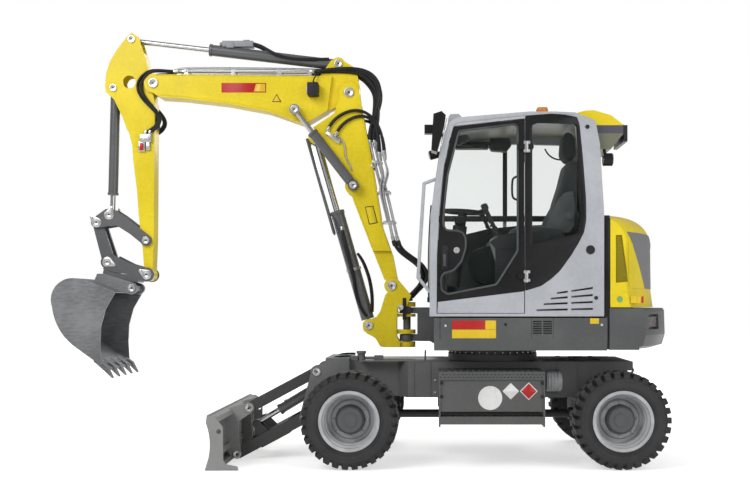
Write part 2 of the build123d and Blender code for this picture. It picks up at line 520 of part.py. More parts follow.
# Upper frame: floor plate, bulkhead, centre box and the nose that carries the swing post
nose_low = (1000.0, 1062.0)
nose_high = (1250.0, 1305.0)
lug_gap = 5.0
with BuildPart() as upper_frame:
    with BuildSketch(Plane.XY.offset(FLOOR_Z)):
        Circle(TAIL_R - 60)
        with Locations((-1700, 0)):
            Rectangle(2360, 4000, mode=Mode.SUBTRACT)
        for y in (-1500 - SIDE_Y + 40, 1500 + SIDE_Y - 40):
            with Locations((0, y)):
                Rectangle(4000, 3000, mode=Mode.SUBTRACT)
        with Locations((2000 + TAIL_FRONT_X - 12, 0)):
            Rectangle(4000, 4000, mode=Mode.SUBTRACT)
    extrude(amount=24)
    for y in (ARM_Y - 75, ARM_Y + 75 - 30):
        plate([(-672, nose_low[0]), (-672, nose_high[1]), (-505, nose_high[1]), (-505, SKIRT_TOP_Z - 14),
               (820, SKIRT_TOP_Z - 14), (820, FLOOR_Z + 10), (-505, FLOOR_Z + 10), (-560, nose_low[0])], y, y + 30)
    for low, high in (nose_low, nose_high):
        with BuildSketch(Plane.XY.offset(low)):
            with Locations(SWING_AXIS):
                Circle(66)
            for front_x, rear_x, half in ((SWING_AXIS[0], -650, 38), (-672, -520, 75)):
                with Locations(((front_x + rear_x) / 2, SWING_AXIS[1])):
                    Rectangle(rear_x - front_x, 2 * half)
        extrude(amount=high - low)
    rod((*SWING_AXIS, nose_low[0] - 44), (*SWING_AXIS, nose_high[1] + 50), KINGPIN_R)
    # Bulkhead between the cab and the engine bay
    box(854, 890, -SIDE_Y + 36, SIDE_Y - 36, FLOOR_Z + 10, SKIRT_TOP_Z + 4)
    box(854, 890, -SIDE_Y + 8, SIDE_Y - 8, SKIRT_TOP_Z + 4, HOOD_TOP_Z - 6)
    for y in (-HOOD_HINGE_Y, HOOD_HINGE_Y):
        for span in both_sides(y, 31, 52):
            pin(HOOD_HINGE, HINGE_R, *span)
            box(HOOD_HINGE[0] - 8, 890, *span, HOOD_TOP_Z - 10, HOOD_HINGE[1])
        pin(HOOD_HINGE, HINGE_PIN_R, y - 52, y + 52)
    # Cross beams that carry the cab and the tank housing
    for x in (-440, 700):
        box(x, x + 60, -860, 860, CAB_FLOOR_Z - 130, CAB_FLOOR_Z)
    # Inner race of the slew ring
    with BuildSketch(Plane.XY.offset(RING_SPLIT_Z + FIT)):
        Circle(RING_R - 25)
        Circle(RING_R - 75, mode=Mode.SUBTRACT)
    extrude(amount=FLOOR_Z - RING_SPLIT_Z - FIT)
keep(upper_frame, "upper_frame")

with BuildPart() as skirts:
    for side, sign in SIDES:
        face = sign * SIDE_Y
        section = [(face, SKIRT_TOP_Z), (face, CREASE_Z), (face - sign * 22, FLOOR_Z),
                   (face - sign * 22 - sign * SKIRT_WALL, FLOOR_Z), (face - sign * SKIRT_WALL, CREASE_Z),
                   (face - sign * SKIRT_WALL, SKIRT_TOP_Z)]
        with BuildSketch(Plane(origin=(SKIRT_FRONT_X, 0, 0), x_dir=(0, 1, 0), z_dir=(1, 0, 0))):
            Polygon(*section, align=None)
        extrude(amount=SKIRT_REAR_X - SKIRT_FRONT_X)
        box(SKIRT_FRONT_X, SKIRT_REAR_X - 20, *sorted((face - sign * 26, face - sign * 90)), FLOOR_Z + 24, FLOOR_Z + 32)
        inside = sign * 300 if sign < 0 else sign * (ARM_Y + 75 + RUN)
        box(SKIRT_FRONT_X, SKIRT_FRONT_X + SKIRT_WALL, *sorted((face - sign * 24, inside)),
            FLOOR_Z + 30, SKIRT_TOP_Z)
        # Louvre block and the gap between the front and the middle panel
        inner, proud = face - sign * SKIRT_WALL, face - sign * 3
        box(LOUVRE[0], LOUVRE[1], *sorted((face, inner)), LOUVRE[2], LOUVRE[3], Mode.SUBTRACT)
        pitch = (LOUVRE[3] - LOUVRE[2]) / 6
        for slat in range(6):
            low = LOUVRE[2] + slat * pitch
            box(LOUVRE[0], LOUVRE[1], *sorted((proud, inner)), low, low + pitch * 0.55)
        middle = (LOUVRE[0] + LOUVRE[1]) / 2
        box(middle - 6, middle + 6, *sorted((proud, inner)), LOUVRE[2], LOUVRE[3])
        box(-477, -472, *sorted((face, face - sign * 5)), FLOOR_Z, SKIRT_TOP_Z, Mode.SUBTRACT)
keep(skirts, "skirts")

with BuildPart() as counterweight:
    with BuildSketch(Plane.XZ):
        Polygon((TAIL_IN_R, FLOOR_Z + 6), (TAIL_R - 105, FLOOR_Z + 10), (TAIL_R - 22, FLOOR_Z + 36),
                (TAIL_R, FLOOR_Z + 124), (TAIL_R - 6, TAIL_TOP_Z - 22), (TAIL_R - 18, TAIL_TOP_Z),
                (TAIL_IN_R, TAIL_TOP_Z), align=None)
    revolve(axis=Axis.Z)
    box(-2000, TAIL_FRONT_X, -2000, 2000, 0, 2000, Mode.SUBTRACT)
    for y_low, y_high in both_sides(0, SIDE_Y, 2000):
        box(0, 2000, y_low, y_high, 0, 2000, Mode.SUBTRACT)
    for y_low, y_high in both_sides(0, SIDE_Y - 60, SIDE_Y):
        box(TAIL_FRONT_X, TAIL_FRONT_X + 240, y_low, y_high, FLOOR_Z + 6, TAIL_TOP_Z)
    for start in (LAMP_FROM, -LAMP_FROM - LAMP_ARC):
        ring_piece(TAIL_R - LAMP_DEPTH, TAIL_R + 10, 1130, 1252, start, LAMP_ARC, Mode.SUBTRACT)
keep(counterweight, "counterweight")

with BuildPart() as tail_lamps:
    for start in (LAMP_FROM + 0.5, -LAMP_FROM - LAMP_ARC + 0.5):
        ring_piece(TAIL_R - LAMP_DEPTH, TAIL_R - 14, 1150, 1232, start, LAMP_ARC - 1, Mode.ADD)
keep(tail_lamps, "tail_lamps")

# Cab shell
DOOR_HINGE = (DOOR_REAR_X, -SIDE_Y - 13)
HINGE_HEIGHTS = (1560, 2600)
SLOT_BREAK = 567
SLOT_ROWS = (               # x, z at the front end; x, z at the rear end
    (466, 1423, 755, 1465),
    (417, 1379, 755, 1408),
    (360, 1334, 755, 1352),
    (302, 1286, 755, 1297))
cab_outline = [(-559, CAB_FLOOR_Z), (-552, 2052), (-467, 2626), (-410, 2800), (-330, 2838), (248, 2885), (450, 2885),
               (611, 2878), (776, 2813), (812, 2626), (846, 2081), (846, CAB_FLOOR_Z)]
cab_inside = [(-559 + CAB_WALL, CAB_FLOOR_Z + 60), (-552 + CAB_WALL, 2052), (-467 + CAB_WALL, 2610),
              (-364, 2750), (-320, 2786), (248, 2832), (600, 2826), (728, 2776), (760, 2620), (794, 2081),
              (794, CAB_FLOOR_Z + 60)]
door_opening = [*DOOR_EDGE, (DOOR_REAR_X, DOOR_TOP_Z), (DOOR_REAR_X, DOOR_EDGE[0][1])]
with BuildPart() as cab_shell:
    plate(cab_outline, -SIDE_Y, CAB_RIGHT_Y)
    plate(cab_inside, -SIDE_Y + CAB_WALL, CAB_RIGHT_Y - CAB_WALL, mode=Mode.SUBTRACT)
    # Door opening
    plate(door_opening, -SIDE_Y - 1, -SIDE_Y + CAB_WALL + 1, mode=Mode.SUBTRACT)
    plate(REAR_WINDOW, -SIDE_Y - 1, -SIDE_Y + CAB_WALL + 1, mode=Mode.SUBTRACT)
    for window in RIGHT_WINDOWS:
        plate(window, CAB_RIGHT_Y - CAB_WALL - 1, CAB_RIGHT_Y + 1, mode=Mode.SUBTRACT)
    # Lamp housing at the roof's front
    plate([(-415, 2798), (-402, 2876), (-388, 2894), (-319, 2897), (-270, 2842)], -760, -640)
    # Air slots below the rear side window, each row in two lengths
    for x_low, z_low, x_high, z_high in SLOT_ROWS:
        slope = (z_high - z_low) / (x_high - x_low)
        for start, finish in ((x_low, SLOT_BREAK - 14), (SLOT_BREAK + 14, x_high)):
            z_start, z_finish = z_low + slope * (start - x_low), z_low + slope * (finish - x_low)
            plate([(start, z_start - 8), (finish, z_finish - 8), (finish, z_finish + 8), (start, z_start + 8)],
                  -SIDE_Y - 1, -SIDE_Y + 7, mode=Mode.SUBTRACT)
    # Windscreen and rear window
    box(-700, -300, -SIDE_Y + 62, CAB_RIGHT_Y - 62, 1340, 2700, Mode.SUBTRACT)
    box(700, 900, -SIDE_Y + 90, CAB_RIGHT_Y - 90, 2150, 2700, Mode.SUBTRACT)
    for z in HINGE_HEIGHTS:
        for low, high in ((z - 45, z - 23), (z + 23, z + 45)):
            rod((*DOOR_HINGE, low), (*DOOR_HINGE, high), 12)
            box(DOOR_REAR_X + 1, DOOR_REAR_X + 40, -SIDE_Y - 20, -SIDE_Y, low, high)
        rod((*DOOR_HINGE, z - 45), (*DOOR_HINGE, z + 45), HINGE_PIN_R)
keep(cab_shell, "cab_shell")

with BuildPart() as cab_glass:
    plate(REAR_WINDOW, -SIDE_Y + PANE_IN, -SIDE_Y + PANE_IN + PANE, inset=FIT)
    for window in RIGHT_WINDOWS:
        plate(window, CAB_RIGHT_Y - PANE_IN - PANE, CAB_RIGHT_Y - PANE_IN, inset=FIT)
    pane_y = (-SIDE_Y + 62.3, CAB_RIGHT_Y - 62.3)
    plate([(-558 + 14, 1340.3), (-552 + 14, 2052), (-472 + 14, 2600), (-440 + 14, 2699.7), (-440 + 20.4, 2699.7),
           (-472 + 20, 2598), (-552 + 20, 2052), (-558 + 20, 1340.3)], *pane_y)
    plate([(836, 2150.3), (802, 2640), (795, 2699.7), (789, 2699.7), (796, 2640), (830, 2150.3)],
          -SIDE_Y + 90.3, CAB_RIGHT_Y - 90.3)
keep(cab_glass, "cab_glass")

# Door: a black frame, hinged at its rear edge
with BuildPart() as door:
    plate(door_opening, -SIDE_Y, -SIDE_Y + DOOR_WALL, inset=DOOR_GAP)
    plate(DOOR_WINDOW, -SIDE_Y - 1, -SIDE_Y + DOOR_WALL + 1, mode=Mode.SUBTRACT)
    for z in HINGE_HEIGHTS:
        rod((*DOOR_HINGE, z - 22), (*DOOR_HINGE, z + 22), 12)
        box(DOOR_REAR_X - 60, DOOR_REAR_X - 4, -SIDE_Y - 20, -SIDE_Y + 2, z - 22, z + 22)
        rod((*DOOR_HINGE, z - 23), (*DOOR_HINGE, z + 23), HINGE_PIN_R + FIT, Mode.SUBTRACT)
keep(door, "door")
with BuildPart() as door_glass:
    plate(DOOR_WINDOW, -SIDE_Y + 10, -SIDE_Y + 10 + PANE, inset=FIT)
keep(door_glass, "door_glass")

# Operator's seat and controls
SEAT_Y = -455.0
with BuildPart() as seat:
    box(170, 560, SEAT_Y - 150, SEAT_Y + 150, CAB_FLOOR_Z + 60, 1700)
    plate([(110, 1850), (120, 1960), (560, 1990), (570, 1880), (540, 1780), (150, 1780)], SEAT_Y - 245, SEAT_Y + 245,
          corner=25)
    plate([(470, 1900), (470, 2187), (522, 2330), (576, 2509), (642, 2545), (689, 2497), (680, 2330), (673, 2116),
           (640, 1880)], SEAT_Y - 215, SEAT_Y + 215)
    plate([(560, 2545), (556, 2745), (590, 2770), (660, 2750), (672, 2545)], SEAT_Y - 130, SEAT_Y + 130, corner=18)
    box(200, 520, SEAT_Y - 130, SEAT_Y + 130, 1700, 1790)
keep(seat, "seat")
with BuildPart() as controls:
    for y in (SEAT_Y - 330, SEAT_Y + 270):
        box(-20, 420, y, y + 60, CAB_FLOOR_Z + 60, 1830)
        plate([(-67, 1842), (-20, 1790), (420, 1790), (420, 1930), (172, 1924), (9, 1900)], y - 10, y + 70)
        rod((5, y + 30, 1895), (-100, y + 30, 2122), 16)
        rod((-96, y + 30, 2112), (-113, y + 30, 2150), 27)
    box(-420, -330, SEAT_Y - 60, SEAT_Y + 60, CAB_FLOOR_Z + 60, 1500)
    rod((-370, SEAT_Y, 1450), (-277, SEAT_Y, 2112), 38)
    with BuildSketch(Plane(origin=(-277, SEAT_Y, 2105), z_dir=(0.06, 0, 1))):
        Circle(175)
        Circle(148, mode=Mode.SUBTRACT)
        Rectangle(320, 40)
    extrude(amount=24)
keep(controls, "controls")

# Roof pod, lamps and beacon
with BuildPart() as roof_pod:
    plate([(611, 2878), (700, 2903), (776, 2906), (911, 2866), (1018, 2785), (1014, 2719), (911, 2591),
           (814.2, 2591), (812, 2626), (776, 2813)], -SIDE_Y + 60, CAB_RIGHT_Y - 60)
    box(1010, 1046, SEAT_Y - 60, SEAT_Y + 60, 2735, 2765)
    box(1046, 1078, SEAT_Y - 240, SEAT_Y + 240, 2681, 2816)
keep(roof_pod, "roof_pod")

with BuildPart() as handrail:
    path = ((-506, 2346), (-603, 2309), (-652, 1549), (-556, 1434))
    for start, finish in zip(path, path[1:]):
        rod((start[0], -896, start[1]), (finish[0], -896, finish[1]), 14)
    for place in path[1:-1]:
        with Locations((place[0], -896, place[1])):
            Sphere(14)
    plate(cab_outline, -SIDE_Y, CAB_RIGHT_Y, mode=Mode.SUBTRACT)
keep(handrail, "handrail")

with BuildPart() as mirror:
    plate([(-545, 2570), (-500, 2555), (-440, 2770), (-428, 2850), (-462, 2882), (-528, 2860)], -968, -810)
    plate([(-520, 2700), (-520, 2725), (-440, 2725), (-432, 2700)], -830, -790)
    plate([(-600, 2712), (-600, 2784), (-525, 2784), (-525, 2712)], -900, -830)
    plate(cab_outline, -SIDE_Y, CAB_RIGHT_Y, mode=Mode.SUBTRACT)
keep(mirror, "mirror")

with BuildPart() as work_lamps:
    for y in (-SIDE_Y + 90, CAB_RIGHT_Y - 90):
        box(852, 872, y - 20, y + 20, 2540, 2591)
        rod((852, y, 2510), (925, y, 2510), 52)
    front_y = CAB_RIGHT_Y - 31
    rod((-560, front_y, 2660), (-490, front_y, 2680), 42)
    box(-500, -420, front_y - 15, front_y + 15, 2655, 2695)
    plate(cab_outline, -SIDE_Y, CAB_RIGHT_Y, mode=Mode.SUBTRACT)
keep(work_lamps, "work_lamps")

# Engine hood, a shell with a round tail, hinged at its top front edge
def hood_block(inset, front_x, low_z):
    """The hood's outer form, drawn in by an inset at its sides, tail and top."""
    radius = HOOD_R - inset
    top_z = HOOD_TOP_Z - inset
    with BuildSketch(Plane.XZ) as profile:
        with BuildLine():
            Polyline((0, top_z), (0, low_z), (radius, low_z), (radius - 22, 1470), (radius - 26, 1800))
            ThreePointArc((radius - 26, 1800), (radius - 75, top_z - 75), (radius - 190, top_z))
            Line((radius - 190, top_z), (0, top_z))
        make_face()
    form = revolve(profile.sketch, axis=Axis.Z, mode=Mode.PRIVATE)
    width = 2 * (HOOD_HALF - inset)
    limits = Box(1000, width, 2000, mode=Mode.PRIVATE)
    return form & limits.moved(Location((front_x + 500, 0, top_z - 900)))


with BuildPart() as hood:
    add(hood_block(0.0, HOOD_FRONT_X, HOOD_LOW_Z))
    add(hood_block(HOOD_WALL, HOOD_FRONT_X - 1, HOOD_LOW_Z - 1), mode=Mode.SUBTRACT)
    for y in (-HOOD_HINGE_Y, HOOD_HINGE_Y):
        box(HOOD_HINGE[0], HOOD_FRONT_X + 60, y - 30, y + 30, HOOD_TOP_Z - 1, HOOD_TOP_Z + 8)
        pin(HOOD_HINGE, HINGE_R, y - 30, y + 30)
        pin(HOOD_HINGE, HINGE_PIN_R + FIT, y - 31, y + 31, Mode.SUBTRACT)
    for y_low, y_high in both_sides(0, HOOD_HALF - 14, HOOD_HALF + 1):
        plate([(942, 1891), (990, 1891), (1043, 1516), (942, 1507)], y_low, y_high, mode=Mode.SUBTRACT)
    for start in (GRILLE_FROM, -GRILLE_FROM - GRILLE_ARC):
        ring_piece(HOOD_R - 90, HOOD_R + 10, *GRILLE_Z, start, GRILLE_ARC, Mode.SUBTRACT)
keep(hood, "hood")

with BuildPart() as hood_grilles:
    slats = 13
    pitch = (GRILLE_Z[1] - GRILLE_Z[0]) / slats
    for start in (GRILLE_FROM, -GRILLE_FROM - GRILLE_ARC):
        ring_piece(HOOD_R - 50, HOOD_R - 44, *GRILLE_Z, start, GRILLE_ARC, Mode.ADD)
        for slat in range(slats):
            low = GRILLE_Z[0] + slat * pitch
            ring_piece(HOOD_R - 46, HOOD_R - 28, low, low + pitch * 0.45, start, GRILLE_ARC, Mode.ADD)
keep(hood_grilles, "hood_grilles")

with BuildPart() as engine_block:
    box(890, 1190, -330, 330, FLOOR_Z + 60, 1720)
    box(940, 1096, -560, -330, FLOOR_Z + 160, 1650)
keep(engine_block, "engine_block")

with BuildPart() as right_bonnet:
    plate([(-470, CAB_FLOOR_Z), (-500, 1500), (-440, 1760), (-300, 1930), (-100, 1985), (854, 2010), (854, CAB_FLOOR_Z)],
          CAB_RIGHT_Y + 8, SIDE_Y - 4)
    plate([(-450, CAB_FLOOR_Z - 1), (-480, 1500), (-424, 1748), (-290, 1912), (-98, 1965), (826, 1990),
           (826, CAB_FLOOR_Z - 1)], CAB_RIGHT_Y + 28, SIDE_Y - 24, mode=Mode.SUBTRACT)
keep(right_bonnet, "right_bonnet")

with BuildPart() as beacon:
    rod((396, SEAT_Y, 2885), (396, SEAT_Y, 2950), 34)
    rod((396, SEAT_Y, 2950), (396, SEAT_Y, 3012), 52)
keep(beacon, "beacon")

# Swing bracket: two cheeks with clevis lugs above and below each lug of the frame's nose
with BuildPart() as swing_bracket:
    outline = [(-964, 1408), (-970, 1382), (-1006, 1268), (-1037, 1222), (-1089, 1199), (-1145, 1181), (-1163, 1145),
               (-1156, 1098), (-1119, 1067), (-1058, 1036), (-1032, 1000), (-1006, 953), (-970, 945), (-825, 945),
               (-825, 994), (-851, 1031), (-857, 1041), (-857, 1201), (-848, 1252), (-815, 1252), (-760, 1330),
               (-727, 1412), (-831, 1536), (-850, 1560)]
    for span in both_sides(ARM_Y, BOOM_HALF - 28, BOOM_HALF):
        plate(outline, *span, bosses=[(*BOOM_PIN, 68), (*BOOM_CYL_PIN, 56)], holes=[(-815, 1289, 38)])
    lugs = ((nose_low[0] - lug_gap - 50, nose_low[0] - lug_gap), (nose_low[1] + lug_gap, nose_low[1] + 42),
            (nose_high[0] - 30, nose_high[0] - lug_gap), (nose_high[1] + lug_gap, nose_high[1] + 48))
    for low, high in lugs:
        with BuildSketch(Plane.XY.offset(low)):
            with Locations(SWING_AXIS):
                Circle(78)
            with Locations(((SWING_AXIS[0] - 960) / 2, SWING_AXIS[1])):
                Rectangle(960 + SWING_AXIS[0], 150)
            with Locations(SWING_AXIS):
                Circle(KINGPIN_R + FIT, mode=Mode.SUBTRACT)
        extrude(amount=high - low)
    box(-900, -866, ARM_Y - BOOM_HALF + 20, ARM_Y + BOOM_HALF - 20, 945, 1374)
    for place, radius in ((BOOM_PIN, 34), (BOOM_CYL_PIN, 30)):
        pin(place, radius, ARM_Y - BOOM_HALF - 8, ARM_Y + BOOM_HALF + 8)
keep(swing_bracket, "swing_bracket")

# Lower boom
with BuildPart() as lower_boom:
    foot_half = BOOM_HALF - 28 - RUN
    plate([(-968, 1553), (-1092, 1863), (-1247, 2265), (-1277, 2358), (-1609, 2922), (-1420, 2962), (-1160, 3060),
           (-1092, 2698), (-984, 2032), (-891, 1770), (-850, 1560)], ARM_Y - foot_half, ARM_Y + foot_half,
          bosses=[(*BOOM_PIN, 68)])
    side_outline = [(-1072, 1812), (-1247, 2265), (-1277, 2358), (-1609, 2922), (-1420, 3050), (-1370, 3190),
                    (-1330, 3310), (-1200, 3270), (-1153, 2992), (-1092, 2698), (-984, 2032), (-908, 1812)]
    for span in both_sides(ARM_Y, foot_half - 4, BOOM_HALF):
        plate(side_outline, *span, bosses=[(*KNEE_PIN, 92), (*BOOM_ROD_PIN, 62)])
    for y in both_sides(ARM_Y, BOOM_HALF - 2, BOOM_HALF + 5):
        pin(ADJUST_CYL_PIN, 80, *y)
    # Pocket for the knee of the upper boom, and for the eye of the lift cylinder's rod
    plate([(-1640, 2935), (-1420, 2962), (-1160, 3062), (-1100, 3400), (-1500, 3400)],
          ARM_Y - foot_half, ARM_Y + foot_half, mode=Mode.SUBTRACT)
    pin(BOOM_ROD_PIN, 92, ARM_Y - foot_half, ARM_Y + foot_half, Mode.SUBTRACT)
    pin(KNEE_PIN, 36, ARM_Y - BOOM_HALF - 8, ARM_Y + BOOM_HALF + 8)
    pin(BOOM_PIN, 34 + FIT, ARM_Y - 200, ARM_Y + 200, Mode.SUBTRACT)
    for side, sign in SIDES:
        pin(BOOM_ROD_PIN, 30, *sorted((ARM_Y + sign * (foot_half - 6), ARM_Y + sign * (BOOM_HALF + 2))))
        pin(ADJUST_CYL_PIN, 26, *sorted((ARM_Y + sign * BOOM_HALF, ARM_Y + sign * (ADJUST_Y + 38))))
keep(lower_boom, "lower_boom")

BOOM_CYL_PIN_R = 30.0
BOOM_ROD_EYE_R = BOOM_CYL_PIN_R * 1.8
with BuildPart() as boom_barrel:
    barrel(BOOM_CYL_PIN, BOOM_ROD_PIN, ARM_Y, 60, 1075, 28, BOOM_CYL_PIN_R, 60)
keep(boom_barrel, "boom_barrel")
with BuildPart() as boom_rod:
    piston_rod(BOOM_CYL_PIN, BOOM_ROD_PIN, ARM_Y, 1000, 28, BOOM_CYL_PIN_R, 52)
keep(boom_rod, "boom_rod")
with BuildPart() as cylinder_guard:
    guard_top = (BOOM_ROD_PIN[0] - 70, BOOM_ROD_PIN[1] - 14)
    guard_foot = (-1428, 1958)
    plate([guard_top, (guard_top[0] + 9, guard_top[1] + 3), (guard_foot[0] + 9, guard_foot[1] + 3), guard_foot],
          ARM_Y - 34, ARM_Y + 34)
    plate([guard_top, (guard_top[0] + 22, guard_top[1] + 6), (guard_top[0] + 34, guard_top[1] - 40),
           (guard_top[0] + 12, guard_top[1] - 46)], ARM_Y - 30, ARM_Y + 30)
    pin(BOOM_ROD_PIN, BOOM_ROD_EYE_R + FIT / 2, ARM_Y - 60, ARM_Y + 60, Mode.SUBTRACT)
keep(cylinder_guard, "cylinder_guard")

# Upper boom
BOOM_TOP = (-3040, 3400)    # front end of the straight top edge
BOOM_TOP_FALL = -0.01       # its slope towards the knee
knee_half = BOOM_HALF - 28 - 2 * RUN
with BuildPart() as upper_boom:
    plate([BOOM_TOP, (-1440, BOOM_TOP[1] + 1600 * BOOM_TOP_FALL), (-1480, 3075), (-1652, 2974), (-1706, 2959),
           (-2015, 3067), (-2387, 3137), (-2789, 3184), (-2990, 3196), (-3050, 3236)], ARM_Y - BOOM_HALF, ARM_Y + BOOM_HALF)
    plate([(-1500, 3384), (-1210, 3369), (-1190, 3290), (-1230, 3165), (-1396, 3114), (-1560, 3040)],
          ARM_Y - knee_half, ARM_Y + knee_half, bosses=[(*KNEE_PIN, 88)])
    for span in both_sides(ARM_Y, BOOM_HALF - BOOM_CHEEK, BOOM_HALF):
        plate([], *span, bosses=[(*STICK_PIN, 86)])
    # Fork for the stick
    plate([], ARM_Y - STICK_HALF - RUN, ARM_Y + STICK_HALF + RUN, bosses=[(*STICK_PIN, 128)], mode=Mode.SUBTRACT)
    for span in both_sides(ARM_Y, knee_half - 12, knee_half):
        plate([(-1560, 3380), (-1451, 3532), (-1384, 3560), (-1241, 3470), (-1203, 3369), (-1300, 3300)], *span,
              bosses=[(*STICK_CYL_PIN, 58)])
    pin(KNEE_PIN, 36 + FIT, ARM_Y - 200, ARM_Y + 200, Mode.SUBTRACT)
    pin(STICK_PIN, 34, ARM_Y - BOOM_HALF - 8, ARM_Y + BOOM_HALF + 8)
    pin(STICK_CYL_PIN, 28, ARM_Y - knee_half - 6, ARM_Y + knee_half + 6)
    for side, sign in SIDES:
        pin(ADJUST_ROD_PIN, 48, *sorted((ARM_Y + sign * BOOM_HALF, ARM_Y + sign * (BOOM_HALF + 8))))
        pin(ADJUST_ROD_PIN, 26, *sorted((ARM_Y + sign * BOOM_HALF, ARM_Y + sign * (ADJUST_Y - 34))))
keep(upper_boom, "upper_boom")

# Hard pipes and a work lamp on the upper boom
with BuildPart() as boom_fittings:
    for offset_y in (-84, -56, 56, 84):
        rod((-2853, ARM_Y + offset_y, 3432), (-1600, ARM_Y + offset_y, 3420), 10)
    for x in (-2750, -2330, -1910, -1640):
        top_z = BOOM_TOP[1] + (x - 18 - BOOM_TOP[0]) * BOOM_TOP_FALL
        for low, high in both_sides(ARM_Y, 44, 96):
            box(x - 18, x + 18, low, high, top_z + FIT, 3446)
    rod((-1640, ARM_Y - BOOM_HALF - 55, 3244), (-1558, ARM_Y - BOOM_HALF - 55, 3256), 50)
    box(-1600, -1570, ARM_Y - BOOM_HALF - 20, ARM_Y - BOOM_HALF, 3210, 3290)
keep(boom_fittings, "boom_fittings")

with BuildPart() as adjust_barrels:
    for side, sign in SIDES:
        barrel(ADJUST_CYL_PIN, ADJUST_ROD_PIN, ARM_Y + sign * ADJUST_Y, 44, 600, 23, 26, 32)
keep(adjust_barrels, "adjust_barrels")
with BuildPart() as adjust_rods:
    for side, sign in SIDES:
        piston_rod(ADJUST_CYL_PIN, ADJUST_ROD_PIN, ARM_Y + sign * ADJUST_Y, 470, 23, 26, 30)
keep(adjust_rods, "adjust_rods")

# Stick: a box below, two cheeks at the head
with BuildPart() as stick:
    head = [(-3245, 3782), (-3285, 3750), (-3375, 3634), (-3443, 3522), (-3475, 3420), (-3487, 3300), (-3480, 3246),
            (-3405, 3179), (-3330, 3023), (-3285, 2896), (-3039, 2896), (-3039, 3151), (-3099, 3455), (-3181, 3738)]
    for span in both_sides(ARM_Y, STICK_HALF - 16, STICK_HALF):
        plate(head, *span, bosses=[(*STICK_PIN, 78)], holes=[(-3269, 3337, 58)])
    plate([(-3285, 2940), (-3241, 2762), (-3233, 2635), (-3197, 2348), (-3183, 2135), (-3147, 1834), (-3136, 1682),
           (-3060, 1560), (-3047, 1919), (-3039, 2940)], ARM_Y - STICK_HALF, ARM_Y + STICK_HALF,
          bosses=[(*BUCKET_PIN, 58)])
    # Front, back and pivot walls between the cheeks
    plate([(-3330, 3023), (-3285, 2896), (-3250, 2930), (-3290, 3023)], ARM_Y - STICK_HALF, ARM_Y + STICK_HALF)
    plate([(-3039, 2900), (-3039, 3151), (-3099, 3455), (-3136, 3600), (-3152, 3596), (-3116, 3450), (-3057, 3150),
           (-3057, 2900)], ARM_Y - STICK_HALF, ARM_Y + STICK_HALF)
    pin(STICK_PIN, 78, ARM_Y - STICK_HALF, ARM_Y + STICK_HALF)
    pin(STICK_PIN, 34 + FIT, ARM_Y - 200, ARM_Y + 200, Mode.SUBTRACT)
    pin(BUCKET_CYL_PIN, 26, ARM_Y - STICK_HALF - 6, ARM_Y + STICK_HALF + 6)
    pin(ROCKER_PIN, 24, ARM_Y - BOOM_HALF - 6, ARM_Y + BOOM_HALF + 6)
    pin(BUCKET_PIN, 26 + FIT, ARM_Y - 200, ARM_Y + 200, Mode.SUBTRACT)
    for side, sign in SIDES:
        pin(STICK_ROD_PIN, 26, *sorted((ARM_Y + sign * (STICK_HALF + 6), ARM_Y + sign * (STICK_HALF - 18))))
keep(stick, "stick")

with BuildPart() as stick_barrel:
    barrel(STICK_CYL_PIN, STICK_ROD_PIN, ARM_Y, 50, 1180, 23, 28, 45)
keep(stick_barrel, "stick_barrel")
with BuildPart() as stick_rod:
    piston_rod(STICK_CYL_PIN, STICK_ROD_PIN, ARM_Y, 1120, 23, 26, 50)
keep(stick_rod, "stick_rod")
with BuildPart() as bucket_barrel:
    barrel(BUCKET_CYL_PIN, ROCKER_ROD_PIN, ARM_Y, 43, 960, 23, 26, 50)
keep(bucket_barrel, "bucket_barrel")
with BuildPart() as bucket_rod:
    piston_rod(BUCKET_CYL_PIN, ROCKER_ROD_PIN, ARM_Y, 880, 23, 22, 34)
keep(bucket_rod, "bucket_rod")

# Bucket linkage
with BuildPart() as rocker:
    for span in both_sides(ARM_Y, STICK_HALF + RUN, BOOM_HALF):
        plate([(-3581, 2112), (-3473, 2189), (-3400, 2185), (-3330, 2140), (-3080, 1948), (-3136, 1868), (-3256, 1965),
               (-3386, 2047), (-3550, 2018)], *span,
              bosses=[(*ROCKER_END_PIN, 50), (*ROCKER_ROD_PIN, 54), (*ROCKER_PIN, 50)],
              holes=[(*ROCKER_PIN, 24 + FIT)])
    pin(ROCKER_END_PIN, 24, ARM_Y - BOOM_HALF - 6, ARM_Y + BOOM_HALF + 6)
    for side, sign in SIDES:
        pin(ROCKER_ROD_PIN, 22, *sorted((ARM_Y + sign * (BOOM_HALF + 6), ARM_Y + sign * (STICK_HALF - 20))))
keep(rocker, "rocker")

with BuildPart() as bucket_link:
    for span in both_sides(ARM_Y, 46, STICK_HALF):
        plate([(-3600, 2060), (-3512, 2070), (-3400, 1730), (-3510, 1715)], *span,
              bosses=[(*ROCKER_END_PIN, 46), (*LINK_PIN, 54)],
              holes=[(*ROCKER_END_PIN, 24 + FIT), (*LINK_PIN, 24 + FIT)])
    plate([(-3560, 1975), (-3530, 1985), (-3450, 1800), (-3480, 1790)], ARM_Y - 50, ARM_Y + 50)
keep(bucket_link, "bucket_link")

